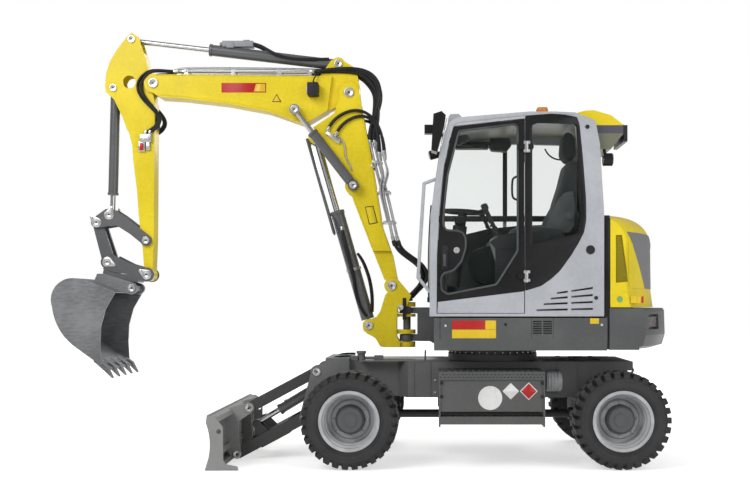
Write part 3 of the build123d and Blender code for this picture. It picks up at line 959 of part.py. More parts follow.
with BuildPart() as coupler:
    for span in both_sides(ARM_Y, STICK_HALF + RUN, BOOM_HALF):
        plate([(-3400, 1772), (-3256, 1700), (-3130, 1664), (-3060, 1555), (-3180, 1545), (-3257, 1600), (-3383, 1618),
               (-3500, 1650)], *span, bosses=[(*BUCKET_PIN, 64), (*LINK_PIN, 62)])
    # Body under the cheeks
    plate([(-3490, 1648), (-3383, 1612), (-3250, 1600), (-3175, 1548), (-3190, 1530), (-3290, 1540), (-3500, 1610)],
          ARM_Y - BOOM_HALF, ARM_Y + BOOM_HALF)
    pin(BUCKET_PIN, 26, ARM_Y - BOOM_HALF - 8, ARM_Y + BOOM_HALF + 8)
    for side, sign in SIDES:
        pin(LINK_PIN, 24, *sorted((ARM_Y + sign * (BOOM_HALF + 8), ARM_Y + sign * (STICK_HALF + RUN))))
keep(coupler, "coupler")

with BuildPart() as bucket:
    y_low, y_high = ARM_Y - BUCKET_HALF, ARM_Y + BUCKET_HALF
    for grow, span, kind in ((0.0, (y_low, y_high), Mode.ADD),
                             (-BUCKET_WALL, (y_low + BUCKET_WALL, y_high - BUCKET_WALL), Mode.SUBTRACT)):
        with BuildSketch(Plane.XZ.offset(-span[1])) as shell:
            with BuildLine():
                Polyline((-3408, 797), (-3419, 976), (-3413, 1134), (-3371, 1292), (-3287, 1439), (-3534, 1536),
                         (-3640, 1560))
                ThreePointArc((-3640, 1560), (-3806, 1490), (-3836, 1310))
                ThreePointArc((-3836, 1310), (-3775, 1120), (-3640, 965))
                Line((-3640, 965), (-3408, 797))
            make_face()
            if grow:
                offset(amount=grow, mode=Mode.REPLACE)
                Polygon((-3440, 836), (-3380, 800), (-3200, 1440), (-3318, 1432), (-3387, 1300), (-3428, 1140),
                        (-3434, 976), align=None)
        extrude(amount=span[1] - span[0], mode=kind)
    # Cutting edge and teeth
    plate([(-3470, 828), (-3478, 846), (-3372, 776), (-3360, 756)], y_low, y_high)
    for tooth in range(5):
        y = y_low + 12 + tooth * (2 * BUCKET_HALF - 24 - 62) / 4
        plate([(-3452, 850), (-3468, 826), (-3380, 748), (-3319, 690), (-3326, 708), (-3366, 790)], y, y + 62)
    # Ears, hinge beam and the pin that the coupler's hook holds
    for span in both_sides(ARM_Y, BOOM_HALF, BOOM_HALF + 30):
        plate([(-3560, 1560), (-3540, 1608), (-3480, 1606), (-3225, 1526), (-3180, 1480), (-3230, 1420), (-3290, 1430),
               (-3400, 1470), (-3560, 1535)], *span, bosses=[(*HOOK_PIN, 50)])
    pin(HOOK_PIN, 26, ARM_Y - BOOM_HALF - 34, ARM_Y + BOOM_HALF + 34)
keep(bucket, "bucket")

# Row frame: the middle of the plan box, on the ground
plan = Compound(children=[copy for copy in (piece.moved(Location()) for piece in PIECES)]).bounding_box()
SHIFT = Location((-(plan.min.X + plan.max.X) / 2, -(plan.min.Y + plan.max.Y) / 2, 0))
print("offset", -(plan.min.X + plan.max.X) / 2, -(plan.min.Y + plan.max.Y) / 2, "lowest", plan.min.Z)

os.makedirs("parts", exist_ok=True)
for piece in PIECES:
    placed = piece.moved(SHIFT)
    placed.label = piece.label
    export_step(placed, f"parts/{piece.label}.step")
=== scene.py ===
"""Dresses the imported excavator: finishes for its CAD pieces, and hoses, seat, tyres and trim."""
import json
import math

import bpy
from mathutils import Matrix, Vector


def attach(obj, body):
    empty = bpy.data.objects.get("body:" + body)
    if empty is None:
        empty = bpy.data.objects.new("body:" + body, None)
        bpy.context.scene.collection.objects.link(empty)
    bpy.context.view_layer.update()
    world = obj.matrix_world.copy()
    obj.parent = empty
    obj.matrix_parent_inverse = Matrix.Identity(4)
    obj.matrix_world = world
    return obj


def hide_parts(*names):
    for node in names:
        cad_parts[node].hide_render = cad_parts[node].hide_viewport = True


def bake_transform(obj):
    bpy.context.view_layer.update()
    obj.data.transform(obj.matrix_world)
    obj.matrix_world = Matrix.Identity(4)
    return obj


bl_info = {
    "name": "Wheeled Excavator Dressing",
    "version": (1, 0, 0),
    "blender": (4, 5, 0),
    "location": "View3D > Sidebar > Excavator",
    "description": "Finishes and trim for a compact wheeled excavator",
    "category": "Object",
}

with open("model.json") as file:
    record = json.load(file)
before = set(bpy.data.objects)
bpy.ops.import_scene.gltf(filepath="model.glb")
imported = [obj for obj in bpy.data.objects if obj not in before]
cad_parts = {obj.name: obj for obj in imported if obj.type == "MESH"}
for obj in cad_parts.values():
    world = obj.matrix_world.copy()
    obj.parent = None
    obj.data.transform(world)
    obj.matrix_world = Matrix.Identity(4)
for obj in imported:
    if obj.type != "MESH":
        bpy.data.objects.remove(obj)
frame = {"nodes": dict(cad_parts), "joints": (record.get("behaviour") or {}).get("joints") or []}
NODES = frame["nodes"]
ANCHORS = {joint["name"]: Vector(joint["pos_m"]) for joint in frame["joints"] if "pos_m" in joint}
SLEW_X = ANCHORS["slew"].x
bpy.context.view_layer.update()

# Planes of the machine, as y in millimetres
ARM_MID = 150.0             # the boom's plane
CAB_SIDE = 930.0            # outer faces of the cab, the skirts and the bonnet
SEAT_MID = -455.0
WHEEL_MID = 800.0
WHEEL_Z = 394.0


def at(x, y, z):
    """A point given in millimetres from the slew axis, as metres in the row frame."""
    return Vector((SLEW_X + x / 1000, y / 1000, z / 1000))


# Shader maths

class Field:
    """A value or colour that changes over a surface, so that shader maths reads as arithmetic."""

    def __init__(self, finish, socket):
        self.finish = finish
        self.socket = socket

    def maths(self, operation, *values):
        return self.finish.node("ShaderNodeMath", {"operation": operation}, dict(enumerate(values)))

    def __add__(self, other):
        return self.maths("ADD", self, other)

    def __sub__(self, other):
        return self.maths("SUBTRACT", self, other)

    def __rsub__(self, other):
        return self.maths("SUBTRACT", other, self)

    def __mul__(self, other):
        return self.maths("MULTIPLY", self, other)

    __radd__ = __add__
    __rmul__ = __mul__

    def root(self):
        return self.maths("SQRT", self)

    def ramp(self, low, high, to_low=0.0, to_high=1.0):
        """Runs from to_low to to_high while this value goes from low to high, and stays there outside."""
        inputs = {"Value": self, "From Min": low, "From Max": high, "To Min": to_low, "To Max": to_high}
        settings = {"clamp": True, "interpolation_type": "SMOOTHSTEP"}
        return self.finish.node("ShaderNodeMapRange", settings, inputs)

    def mix(self, first, second):
        """The first colour where this mask is 0, the second where it is 1."""
        inputs = {0: self, 6: first, 7: second}
        return self.finish.node("ShaderNodeMix", {"data_type": "RGBA"}, inputs, output=2)


def scaled(colour, factor, lift=0.0):
    return tuple(min(1.0, channel * factor + lift) for channel in colour)


class Finish:
    """A material under construction, with its principled shader."""

    def __init__(self, name, colour=(0.5, 0.5, 0.5), rough=0.5, metal=0.0, **sockets):
        self.material = bpy.data.materials.new(name)
        self.material.use_nodes = True
        self.tree = self.material.node_tree
        self.shader = self.tree.nodes["Principled BSDF"]
        self.material.diffuse_color = (*colour, 1.0)
        self.set("Base Color", (*colour, 1.0))
        self.set("Roughness", rough)
        self.set("Metallic", metal)
        for name_of_socket, value in sockets.items():
            self.set(name_of_socket.replace("_", " "), value)

    def node(self, kind, settings, inputs, output=0):
        """Adds a node, gives it its settings and then its inputs, and returns one output as a Field."""
        made = self.tree.nodes.new(kind)
        for key, value in settings.items():
            setattr(made, key, value)
        for key, value in inputs.items():
            if isinstance(value, Field):
                self.tree.links.new(value.socket, made.inputs[key])
            elif isinstance(value, tuple) and len(value) == 3 and made.inputs[key].type == "RGBA":
                made.inputs[key].default_value = (*value, 1.0)
            else:
                made.inputs[key].default_value = value
        return Field(self, made.outputs[output])

    def set(self, socket, value):
        if isinstance(value, Field):
            self.tree.links.new(value.socket, self.shader.inputs[socket])
        else:
            self.shader.inputs[socket].default_value = value

    @property
    def place(self):
        """Object coordinates, in metres from the row's origin."""
        return self.node("ShaderNodeTexCoord", {}, {}, output="Object")

    def axis(self, name):
        return self.node("ShaderNodeSeparateXYZ", {}, {0: self.place}, output=name)

    def from_axle(self, axle):
        """The distance from the axis of the front or the rear wheels."""
        centre = ANCHORS[axle + "_left_wheel_spin"]
        x = self.axis("X") - centre.x
        z = self.axis("Z") - centre.z
        return (x * x + z * z).root()

    def noise(self, scale, detail=3.0, roughness=0.55, stretch=None):
        where = self.place
        if stretch:
            where = self.node("ShaderNodeMapping", {}, {"Vector": where, "Scale": stretch})
        return self.node("ShaderNodeTexNoise", {}, {"Vector": where, "Scale": scale, "Detail": detail,
                                                    "Roughness": roughness})

    def bands(self, direction, scale, distortion=0.0):
        return self.node("ShaderNodeTexWave", {"wave_type": "BANDS", "bands_direction": direction},
                         {"Vector": self.place, "Scale": scale, "Distortion": distortion})

    def relief(self, height, depth, edges=0.0):
        """Gives the surface a bump of a height field, with softened edges where asked for."""
        inputs = {"Height": height, "Strength": 1.0, "Distance": depth}
        if edges:
            inputs["Normal"] = self.node("ShaderNodeBevel", {"samples": 4}, {"Radius": edges})
        self.set("Normal", self.node("ShaderNodeBump", {}, inputs))

    def wear(self, reach=0.004):
        """A mask that is 1 along outer edges, by how far a rounded normal leans from the true one."""
        rounded = self.node("ShaderNodeBevel", {"samples": 4}, {"Radius": reach})
        true = self.node("ShaderNodeNewGeometry", {}, {}, output="Normal")
        lean = self.node("ShaderNodeVectorMath", {"operation": "DOT_PRODUCT"}, {0: rounded, 1: true},
                         output="Value")
        return lean.ramp(0.93, 0.80)


def painted(name, colour, rough, dust, edge_wear=0.0, grain=0.0003, coat=0.0, gloss=0.35):
    """Sprayed machine paint: a slight orange peel, a little dust low down and, if asked for, worn edges."""
    finish = Finish(name, colour, rough, Specular_IOR_Level=gloss)
    patches = finish.noise(2.3, 4.0)
    fine = finish.noise(38.0, 3.0)
    body = (patches * 0.7 + fine * 0.3).ramp(0.35, 0.65).mix(scaled(colour, 0.90), scaled(colour, 1.06, 0.004))
    if dust:
        veil = finish.axis("Z").ramp(1.1, 0.15) * dust + patches.ramp(0.5, 0.75) * dust * 0.4
        body = veil.mix(body, (0.30, 0.28, 0.25))
    if edge_wear:
        bare = finish.wear() * fine.ramp(0.45, 0.62) * edge_wear
        body = bare.mix(body, (0.33, 0.33, 0.33))
    finish.set("Base Color", body)
    finish.set("Roughness", patches.ramp(0.3, 0.7, rough - 0.05, rough + 0.08))
    if coat:
        finish.set("Coat Weight", coat)
        finish.set("Coat Roughness", 0.12)
    finish.relief(finish.noise(420.0, 1.0), grain, 0.003)
    return finish


def film(name, colour, rough=0.35, gloss=0.35):
    """A smooth clean colour, as of a printed sign."""
    return painted(name, colour, rough, 0.0, grain=0.0001, gloss=gloss)


def metal(name, colour, rough=0.3, brush=(40.0, 40.0, 400.0), grain=0.0001):
    """Bare metal with fine drawn lines."""
    finish = Finish(name, colour, rough, 1.0)
    lines = finish.noise(1.0, 2.0, 0.6, stretch=brush)
    finish.set("Base Color", lines.mix(scaled(colour, 0.85), colour))
    finish.set("Roughness", lines.ramp(0.3, 0.7, max(0.04, rough - 0.08), rough + 0.10))
    finish.relief(lines, grain, 0.002)
    return finish


def moulded(name, colour, rough=0.55, grain=0.0004, scale=300.0):
    """Moulded plastic or rubber with a fine pebble grain."""
    finish = Finish(name, colour, rough, Specular_IOR_Level=0.2)
    cells = finish.node("ShaderNodeTexVoronoi", {"feature": "SMOOTH_F1"},
                        {"Vector": finish.place, "Scale": scale})
    patches = finish.noise(6.0, 3.0)
    finish.set("Base Color", patches.ramp(0.35, 0.65).mix(scaled(colour, 0.8), scaled(colour, 1.15, 0.003)))
    finish.set("Roughness", patches.ramp(0.3, 0.7, rough - 0.06, rough + 0.10))
    finish.relief(cells, grain, 0.0015)
    return finish


def pod_paint():
    """The roof pod: yellow above, a dark band, dull olive below, and a dark visor at its back."""
    finish = Finish("pod_paint", YELLOW, 0.34, Specular_IOR_Level=0.3)
    height = finish.axis("Z")
    patches = finish.noise(2.3, 4.0)
    upper = patches.ramp(0.35, 0.65).mix(scaled(YELLOW, 0.94), YELLOW)
    band = height.ramp(2.7845, 2.7855).mix((0.085, 0.08, 0.10), upper)
    body = height.ramp(2.7185, 2.7195).mix((0.17, 0.17, 0.12), band)
    visor = (finish.axis("X") - SLEW_X).ramp(1.009, 1.011)
    finish.set("Base Color", visor.mix(body, (0.02, 0.02, 0.022)))
    finish.set("Roughness", patches.ramp(0.3, 0.7, 0.30, 0.42))
    finish.relief(finish.noise(420.0, 1.0), 0.0003, 0.003)
    return finish


def tyre_rubber(axle):
    """Black rubber, a little grey with dust on its tread, and lighter on a band round its sides as painted
    sheen.
    """
    finish = Finish("tyre_rubber_" + axle, (0.022, 0.022, 0.023), 0.72)
    radius = finish.from_axle(axle)
    # A lighter band round the tyre's sides: painted sheen of the smooth rubber there
    band = radius.ramp(0.275, 0.285) * radius.ramp(0.345, 0.335)
    crown = radius.ramp(0.385, 0.392)
    patches = finish.noise(5.0, 5.0)
    fine = finish.noise(160.0, 2.0)
    rubber = patches.ramp(0.35, 0.7).mix((0.012, 0.012, 0.013), (0.026, 0.026, 0.026))
    rubber = (band * 0.40).mix(rubber, (0.042, 0.041, 0.041))
    finish.set("Base Color", (crown * 0.55).mix(rubber, (0.12, 0.118, 0.115)))
    finish.set("Roughness", fine.ramp(0.3, 0.7, 0.62, 0.85))
    finish.relief(fine * 0.6 + patches * 0.4, 0.0010, 0.004)
    return finish


def wheel_paint(axle):
    """Silver wheel with a dark hub."""
    finish = Finish("wheel_" + axle, (0.42, 0.43, 0.44), 0.35)
    hub = finish.from_axle(axle).ramp(0.1235, 0.1225)
    patches = finish.noise(9.0, 4.0)
    silver = patches.ramp(0.35, 0.7).mix((0.40, 0.41, 0.42), (0.52, 0.53, 0.54))
    finish.set("Base Color", hub.mix(silver, (0.085, 0.087, 0.09)))
    finish.set("Roughness", patches.ramp(0.3, 0.7, 0.30, 0.46))
    finish.relief(finish.noise(300.0, 1.0), 0.0002, 0.003)
    return finish


def clear_glass(name, near_tint, far_tint, near_alpha, far_alpha):
    """Cab glass: nearly clear on the door's side, and with a fuller green tint from the cab's middle on."""
    finish = Finish(name, far_tint, 0.03, Specular_IOR_Level=0.25, IOR=1.45)
    far = finish.axis("Y").ramp(-0.45, -0.15)
    finish.set("Base Color", far.mix(near_tint, far_tint))
    finish.set("Alpha", far * (far_alpha - near_alpha) + near_alpha)
    finish.material.surface_render_method = "DITHERED"
    return finish


def scraped_steel():
    """The bucket: dark primer, rubbed bright by soil near its lips and along its edges."""
    finish = Finish("bucket_steel", (0.19, 0.195, 0.20), 0.42)
    patches = finish.noise(3.0, 5.0)
    scratches = finish.noise(1.0, 4.0, 0.6, stretch=(14.0, 3.0, 60.0))
    base = (patches * 0.6 + scratches * 0.4).ramp(0.35, 0.65).mix((0.13, 0.133, 0.14), (0.24, 0.245, 0.255))
    bare = finish.wear(0.006) * 0.8
    finish.set("Base Color", bare.mix(base, (0.42, 0.42, 0.43)))
    finish.set("Metallic", bare * 0.7 + 0.15)
    finish.set("Roughness", scratches.ramp(0.3, 0.7, 0.34, 0.55))
    finish.relief(scratches * 0.5 + patches * 0.5, 0.0006, 0.003)
    return finish


def seat_cloth():
    """Dark woven seat cloth."""
    finish = Finish("seat_cloth", (0.03, 0.032, 0.035), 0.9, Sheen_Weight=0.2)
    weave = finish.bands("DIAGONAL", 180.0, 1.0)
    shade = (finish.noise(7.0, 3.0) * 0.6 + weave * 0.4).ramp(0.3, 0.7)
    finish.set("Base Color", shade.mix((0.020, 0.021, 0.023), (0.055, 0.058, 0.062)))
    finish.relief(weave, 0.0006)
    return finish


def glowing(name, colour, rough=0.25):
    """A tinted lens with ribs, darker in stripes along them as painted shade."""
    finish = Finish(name, colour, rough, Coat_Weight=0.6)
    ribs = finish.bands("Z", 60.0)
    # Darker stripes along the ribs: painted shade of the ribs
    finish.set("Base Color", ribs.mix(scaled(colour, 0.7), colour))
    finish.relief(ribs, 0.001, 0.001)
    return finish


YELLOW = (0.82, 0.64, 0.014)
AXLES = ("front", "rear")
FINISHES = {}


def make_finishes():
    FINISHES.update({
        "yellow": painted("yellow_paint", YELLOW, 0.36, 0.0, 0.15, coat=0.08, gloss=0.22),
        "silver": painted("cab_silver", (0.45, 0.465, 0.495), 0.40, 0.02, gloss=0.3),
        "grey": painted("frame_grey", (0.092, 0.094, 0.096), 0.42, 0.16, 0.3),
        # The chassis's grey: frame_grey made about 1.4 times lighter, as painted light against the shade on
        # the chassis, blade bracket and slew ring
        "frame": painted("chassis_grey_lightened", (0.135, 0.138, 0.142), 0.42, 0.16, 0.3),
        # The step boxes' grey, set lower as painted shade of their shadowed sides; their treads take the same
        # darker grey
        "step": painted("step_grey", (0.085, 0.088, 0.088), 0.50, 0.10, 0.4),
        "axle": painted("axle_black", (0.035, 0.036, 0.038), 0.55, 0.12),
        "blade": painted("blade_grey", (0.28, 0.28, 0.285), 0.42, 0.16, 0.6),
        "arm": painted("blade_arm_grey", (0.040, 0.041, 0.044), 0.42, 0.06, 0.5),
        "barrel": painted("cylinder_grey", (0.10, 0.103, 0.108), 0.28, 0.03, 0.1, coat=0.3),
        "link": painted("linkage_grey", (0.11, 0.112, 0.116), 0.42, 0.05, 0.4),
        "valve": painted("valve_grey", (0.27, 0.28, 0.30), 0.4, 0.0, 0.3),
        "deck": painted("deck_grey", (0.20, 0.20, 0.195), 0.5, 0.15),
        "engine": painted("engine_grey", (0.05, 0.05, 0.052), 0.6, 0.2),
        "pod": pod_paint(),
        "black": film("door_black", (0.012, 0.012, 0.013), 0.30, 0.2),
        # The panel and ribs in the hood's side recess: a dark yellow-olive, partly their own colour and partly
        # painted shade of the recess
        "olive": film("recess_olive_shaded", (0.27, 0.22, 0.012), 0.55, 0.1),
        "tail_mesh": film("tail_mesh_grey", (0.20, 0.20, 0.21), 0.5, 0.25),
        "red": film("sign_red_paint", (0.55, 0.012, 0.012), 0.4),
        "sign_red": film("sign_red_film", (0.50, 0.015, 0.015)),
        "sign_yellow": film("sign_yellow_film", (0.80, 0.55, 0.02)),
        "sign_green": film("badge_green", (0.20, 0.42, 0.16), 0.4),
        "sign_white": film("sign_white_film", (0.78, 0.78, 0.77)),
        "plastic": moulded("black_plastic", (0.022, 0.022, 0.024), 0.5),
        "hose": moulded("hose_rubber", (0.015, 0.015, 0.016), 0.42, 0.0003, 500.0),
        "seal": moulded("window_seal", (0.008, 0.008, 0.009), 0.35),
        "moulding": moulded("window_moulding", (0.075, 0.078, 0.082), 0.45),
        "seat_cover": moulded("seat_cover_grey", (0.105, 0.11, 0.112), 0.5),
        "console": moulded("console_grey", (0.20, 0.215, 0.205), 0.55),
        "chrome": metal("rod_chrome", (0.50, 0.50, 0.50), 0.20),
        "zinc": metal("zinc_pin", (0.56, 0.56, 0.55), 0.30, (200.0, 200.0, 200.0)),
        "pipe": metal("pipe_steel", (0.44, 0.44, 0.45), 0.32),
        "mirror": metal("mirror_glass", (0.85, 0.87, 0.88), 0.03, (1.0, 1.0, 1.0), 0.0),
        "glass": clear_glass("cab_pane", (0.10, 0.15, 0.125), (0.16, 0.62, 0.40), 0.03, 0.09),
        "bucket": scraped_steel(),
        "seat": seat_cloth(),
        "beacon": glowing("beacon_orange", (0.85, 0.26, 0.02)),
        # The tail lamps' lens: a red darkened nearly to black, as painted shade of the recess that holds it
        "tail": glowing("tail_red_shaded", (0.035, 0.006, 0.007)),
        "lens": glowing("lamp_lens", (0.75, 0.77, 0.78), 0.1),
        **{"tyre_" + axle: tyre_rubber(axle) for axle in AXLES},
        **{"rim_" + axle: wheel_paint(axle) for axle in AXLES},
    })


NODE_FINISHES = {
    "yellow": ("lower_boom", "upper_boom", "stick", "swing_bracket", "hood", "right_bonnet"),
    "pod": ("roof_pod",),
    "frame": ("chassis_frame", "blade_bracket", "slew_ring"),
    "grey": ("upper_frame", "skirts", "counterweight"),
    "tail_mesh": ("hood_grilles",),
    "step": ("step_boxes",),
    "axle": ("front_axle", "rear_axle", "drive_shaft", "left_knuckle", "right_knuckle"),
    "blade": ("blade",),
    "arm": ("blade_arm", "blade_link"),
    "barrel": ("blade_barrels", "boom_barrel", "adjust_barrels", "stick_barrel", "bucket_barrel",
               "cylinder_guard"),
    "chrome": ("blade_rods", "boom_rod", "adjust_rods", "stick_rod", "bucket_rod"),
    "link": ("rocker", "bucket_link", "coupler"),
    "black": ("door", "mirror", "work_lamps"),
    "silver": ("cab_shell", "handrail"),
    "glass": ("cab_glass", "door_glass"),
    "seat": ("seat",),
    "plastic": ("controls",),
    "engine": ("engine_block",),
    "beacon": ("beacon",),
    "tail": ("tail_lamps",),
    "pipe": ("boom_fittings",),
    "bucket": ("bucket",),
    **{f"tyre_{axle}": (f"{axle}_left_tyre", f"{axle}_right_tyre") for axle in AXLES},
    **{f"rim_{axle}": (f"{axle}_left_rim", f"{axle}_right_rim") for axle in AXLES},
}


def wear_finish(obj, name):
    obj.data.materials.clear()
    obj.data.materials.append(FINISHES[name].material)


# Modelling helpers

def alone(obj=None):
    """Deselects everything, then selects and activates one object."""
    if bpy.context.object and bpy.context.object.mode != "OBJECT":
        bpy.ops.object.mode_set(mode="OBJECT")
    bpy.ops.object.select_all(action="DESELECT")
    if obj:
        obj.select_set(True)
        bpy.context.view_layer.objects.active = obj


def linked(name, data):
    obj = bpy.data.objects.new(name, data)
    bpy.context.collection.objects.link(obj)
    return obj


def as_mesh(obj):
    alone(obj)
    bpy.ops.object.convert(target="MESH")
    return bpy.context.object


def all_picked(obj):
    """Goes into edit mode with everything selected."""
    alone(obj)
    bpy.ops.object.mode_set(mode="EDIT")
    bpy.ops.mesh.select_all(action="SELECT")


def picked(obj, kind, test):
    """Goes into edit mode with only the edges or faces selected that a test of middle and direction picks."""
    alone(obj)
    bpy.ops.object.mode_set(mode="EDIT")
    bpy.ops.mesh.select_mode(type=kind)
    bpy.ops.mesh.select_all(action="DESELECT")
    bpy.ops.object.mode_set(mode="OBJECT")
    mesh = obj.data
    if kind == "FACE":
        for face in mesh.polygons:
            face.select = test(face.center, face.normal)
    else:
        for edge in mesh.edges:
            first, second = (mesh.vertices[index].co for index in edge.vertices)
            edge.select = test((first + second) / 2, (second - first).normalized())
    bpy.ops.object.mode_set(mode="EDIT")


def edges_rounded(obj, width):
    if width:
        bevel = obj.modifiers.new("edge", "BEVEL")
        bevel.width = width
        bevel.segments = 2
        bevel.limit_method = "ANGLE"
        bevel.angle_limit = math.radians(40)
        alone(obj)
        bpy.ops.object.modifier_apply(modifier=bevel.name)
    return obj


def baked(obj):
    """Moves an object's place and turn into its mesh and points the faces outwards."""
    alone(obj)
    bpy.ops.object.transform_apply(location=True, rotation=True, scale=True)
    all_picked(obj)
    bpy.ops.mesh.remove_doubles(threshold=0.00002)
    bpy.ops.mesh.normals_make_consistent(inside=False)
    bpy.ops.object.mode_set(mode="OBJECT")
    return obj


def box(x_low, x_high, y_low, y_high, z_low, z_high, width=3.0):
    """A block with rounded edges, from six limits in millimetres from the slew axis."""
    alone()
    low, high = at(x_low, y_low, z_low), at(x_high, y_high, z_high)
    bpy.ops.mesh.primitive_cube_add(size=1.0, location=(low + high) / 2)
    obj = bpy.context.object
    obj.scale = high - low
    bpy.ops.object.transform_apply(location=False, rotation=False, scale=True)
    return baked(edges_rounded(obj, width / 1000))


def beam(x_low, x_high, middle, half, z_low, z_high, width=3.0):
    """The same, from half its breadth on each side of a middle plane."""
    return box(x_low, x_high, middle - half, middle + half, z_low, z_high, width)


def outline_curve(loops, smooth):
    """A flat curve object of closed (x, z) loops in millimetres, drawn in its own XY plane."""
    alone()
    curve = bpy.data.curves.new("outline", "CURVE")
    curve.dimensions = "2D"
    curve.fill_mode = "BOTH"
    for loop in loops:
        spline = curve.splines.new("NURBS" if smooth else "POLY")
        spline.points.add(len(loop) - 1)
        for point, (x, z) in zip(spline.points, loop):
            point.co = (SLEW_X + x / 1000, z / 1000, 0.0, 1.0)
        spline.use_cyclic_u = True
        if smooth:
            spline.order_u = 3
            spline.resolution_u = 6
    return linked("outline", curve)


def eased(points, reach):
    """A closed outline with two more points beside each corner, so that a smooth curve rounds it."""
    loop = []
    for before, corner, after in zip(points[-1:] + points[:-1], points, points[1:] + points[:1]):
        middle = Vector(corner)
        for neighbour in (before, after):
            run = Vector(neighbour) - middle
            beside = middle + run.normalized() * min(reach, run.length * 0.45)
            loop.append((beside.x, beside.y))
            if neighbour is before:
                loop.append(corner)
    return loop


def oblong(x_low, x_high, z_low, z_high):
    return [(x_low, z_low), (x_low, z_high), (x_high, z_high), (x_high, z_low)]


def pear(centre, radius, tail, tail_radius):
    """The outline of a keeper plate: a large round end and a small one."""
    middle, end = Vector(centre), Vector(tail)
    lean = math.atan2(end.y - middle.y, end.x - middle.x)
    outline = []
    for spot, size, start in ((middle, radius, lean + math.pi / 2), (end, tail_radius, lean - math.pi / 2)):
        for step in range(13):
            turn = start + math.pi * step / 12
            outline.append((spot.x + size * math.cos(turn), spot.y + size * math.sin(turn)))
    return outline


def slab(points, y_low, y_high, width=2.0, holes=(), smooth=False, rounds=1):
    """A plate of (x, z) loops between two y values, all in millimetres from the slew axis."""
    obj = outline_curve([points, *holes], smooth)
    rim = min(width, (y_high - y_low) * 0.45) / 1000
    obj.data.extrude = (y_high - y_low) / 2000 - rim
    obj.data.bevel_depth = rim
    obj.data.offset = -rim
    obj.data.bevel_resolution = rounds
    obj.rotation_euler = (math.radians(90), 0, 0)
    obj.location = (0, (y_low + y_high) / 2000, 0)
    return baked(as_mesh(obj))


def plate(points, reach, y_low, y_high, width, **settings):
    """A slab with its outline's corners rounded over a reach."""
    return slab(eased(points, reach), y_low, y_high, width, smooth=True, **settings)


def cushion(points, half, crown):
    """A soft crowned pad from its side outline: a thick slab, remeshed, then relaxed to pull its sides in."""
    obj = plate(points, 30, SEAT_MID - half, SEAT_MID + half, crown, rounds=4)
    alone(obj)
    remesh = obj.modifiers.new("remesh", "REMESH")
    remesh.mode = "VOXEL"
    remesh.voxel_size = 0.010
    relax = obj.modifiers.new("relax", "SMOOTH")
    relax.factor = 0.6
    relax.iterations = 12
    for modifier in ("remesh", "relax"):
        bpy.ops.object.modifier_apply(modifier=modifier)
    return baked(obj)


def drum(start, finish, radius, steps=(), vertices=28, width=1.5):
    """A round bar between two (x, y, z) points, with (rise, radius) steps turned on its far end."""
    alone()
    start, finish = at(*start), at(*finish)
    run = finish - start
    bpy.ops.mesh.primitive_cylinder_add(vertices=vertices, radius=radius / 1000, depth=run.length,
                                        location=(start + finish) / 2,
                                        rotation=run.to_track_quat("Z", "Y").to_euler())
    obj = bpy.context.object
    if steps:
        bpy.ops.object.transform_apply(location=True, rotation=True, scale=False)
        direction = run.normalized()
        picked(obj, "FACE",
               lambda middle, normal: normal.dot(direction) > 0.9 and (middle - finish).length < 0.0005)
        current = radius
        for rise, ring in steps:
            if abs(ring - current) > 0.001:
                bpy.ops.mesh.inset(thickness=(current - ring) / 1000)
                current = ring
            if rise:
                bpy.ops.mesh.extrude_region_move(TRANSFORM_OT_translate={"value": direction * (rise / 1000)})
        bpy.ops.object.mode_set(mode="OBJECT")
    return baked(edges_rounded(obj, width / 1000))


def peg(x, z, y_from, y_to, *shape):
    """A drum that lies along Y."""
    return drum((x, y_from, z), (x, y_to, z), *shape)


def cap(x, z, y_from, y_to, radius, inner, dish, vertices, width):
    """A drum along Y whose end has a dish, or a rise where it is above 0, of an inner radius."""
    return peg(x, z, y_from, y_to, radius, ((0, inner), (dish, inner)), vertices, width)


def bolt(start, finish, radius, width=1.0):
    """A six-sided drum."""
    return drum(start, finish, radius, (), 6, width)


def tube(points, radius, cyclic=False, smooth=True):
    """A tube along (x, y, z) points in millimetres from the slew axis."""
    alone()
    curve = bpy.data.curves.new("tube", "CURVE")
    curve.dimensions = "3D"
    curve.bevel_depth = radius / 1000
    curve.bevel_resolution = 3
    curve.use_fill_caps = not cyclic
    spline = curve.splines.new("NURBS" if smooth else "POLY")
    spline.points.add(len(points) - 1)
    for point, place in zip(spline.points, points):
        point.co = (*at(*place), 1.0)
    spline.use_cyclic_u = cyclic
    if smooth:
        spline.use_endpoint_u = not cyclic
        spline.order_u = 4 if len(points) > 3 else 3
        spline.resolution_u = 5
    return baked(as_mesh(linked("tube", curve)))


def line(y, radius, *points, **settings):
    """A tube at one y along (x, z) points; a point may give a third value, by which it lies further out."""
    return tube([(x, y + sum(further), z) for x, z, *further in points], radius, **settings)


def swept(points, centre, axis, angle, steps, cyclic=False):
    """The surface that a chain of points, in metres, leaves when it turns about an axis through a centre."""
    alone()
    curve = bpy.data.curves.new("profile", "CURVE")
    curve.dimensions = "3D"
    spline = curve.splines.new("POLY")
    spline.points.add(len(points) - 1)
    for point, place in zip(spline.points, points):
        point.co = (*place, 1.0)
    spline.use_cyclic_u = cyclic
    obj = as_mesh(linked("profile", curve))
    all_picked(obj)
    bpy.ops.mesh.spin(steps=steps, angle=angle, center=centre, axis=axis)
    bpy.ops.object.mode_set(mode="OBJECT")
    return obj


def spun(profile, centre):
    """Turns a closed (y, radius) profile, in millimetres, round an axis along Y through a centre."""
    points = [centre + Vector((0, y / 1000, radius / 1000)) for y, radius in profile]
    return baked(swept(points, centre, (0, 1, 0), 2 * math.pi, 72, cyclic=True))


def joined(parts):
    """Joins finished meshes into one object."""
    alone()
    for part in parts:
        part.select_set(True)
    bpy.context.view_layer.objects.active = parts[0]
    if len(parts) > 1:
        bpy.ops.object.join()
    result = bpy.context.object
    alone()
    return result


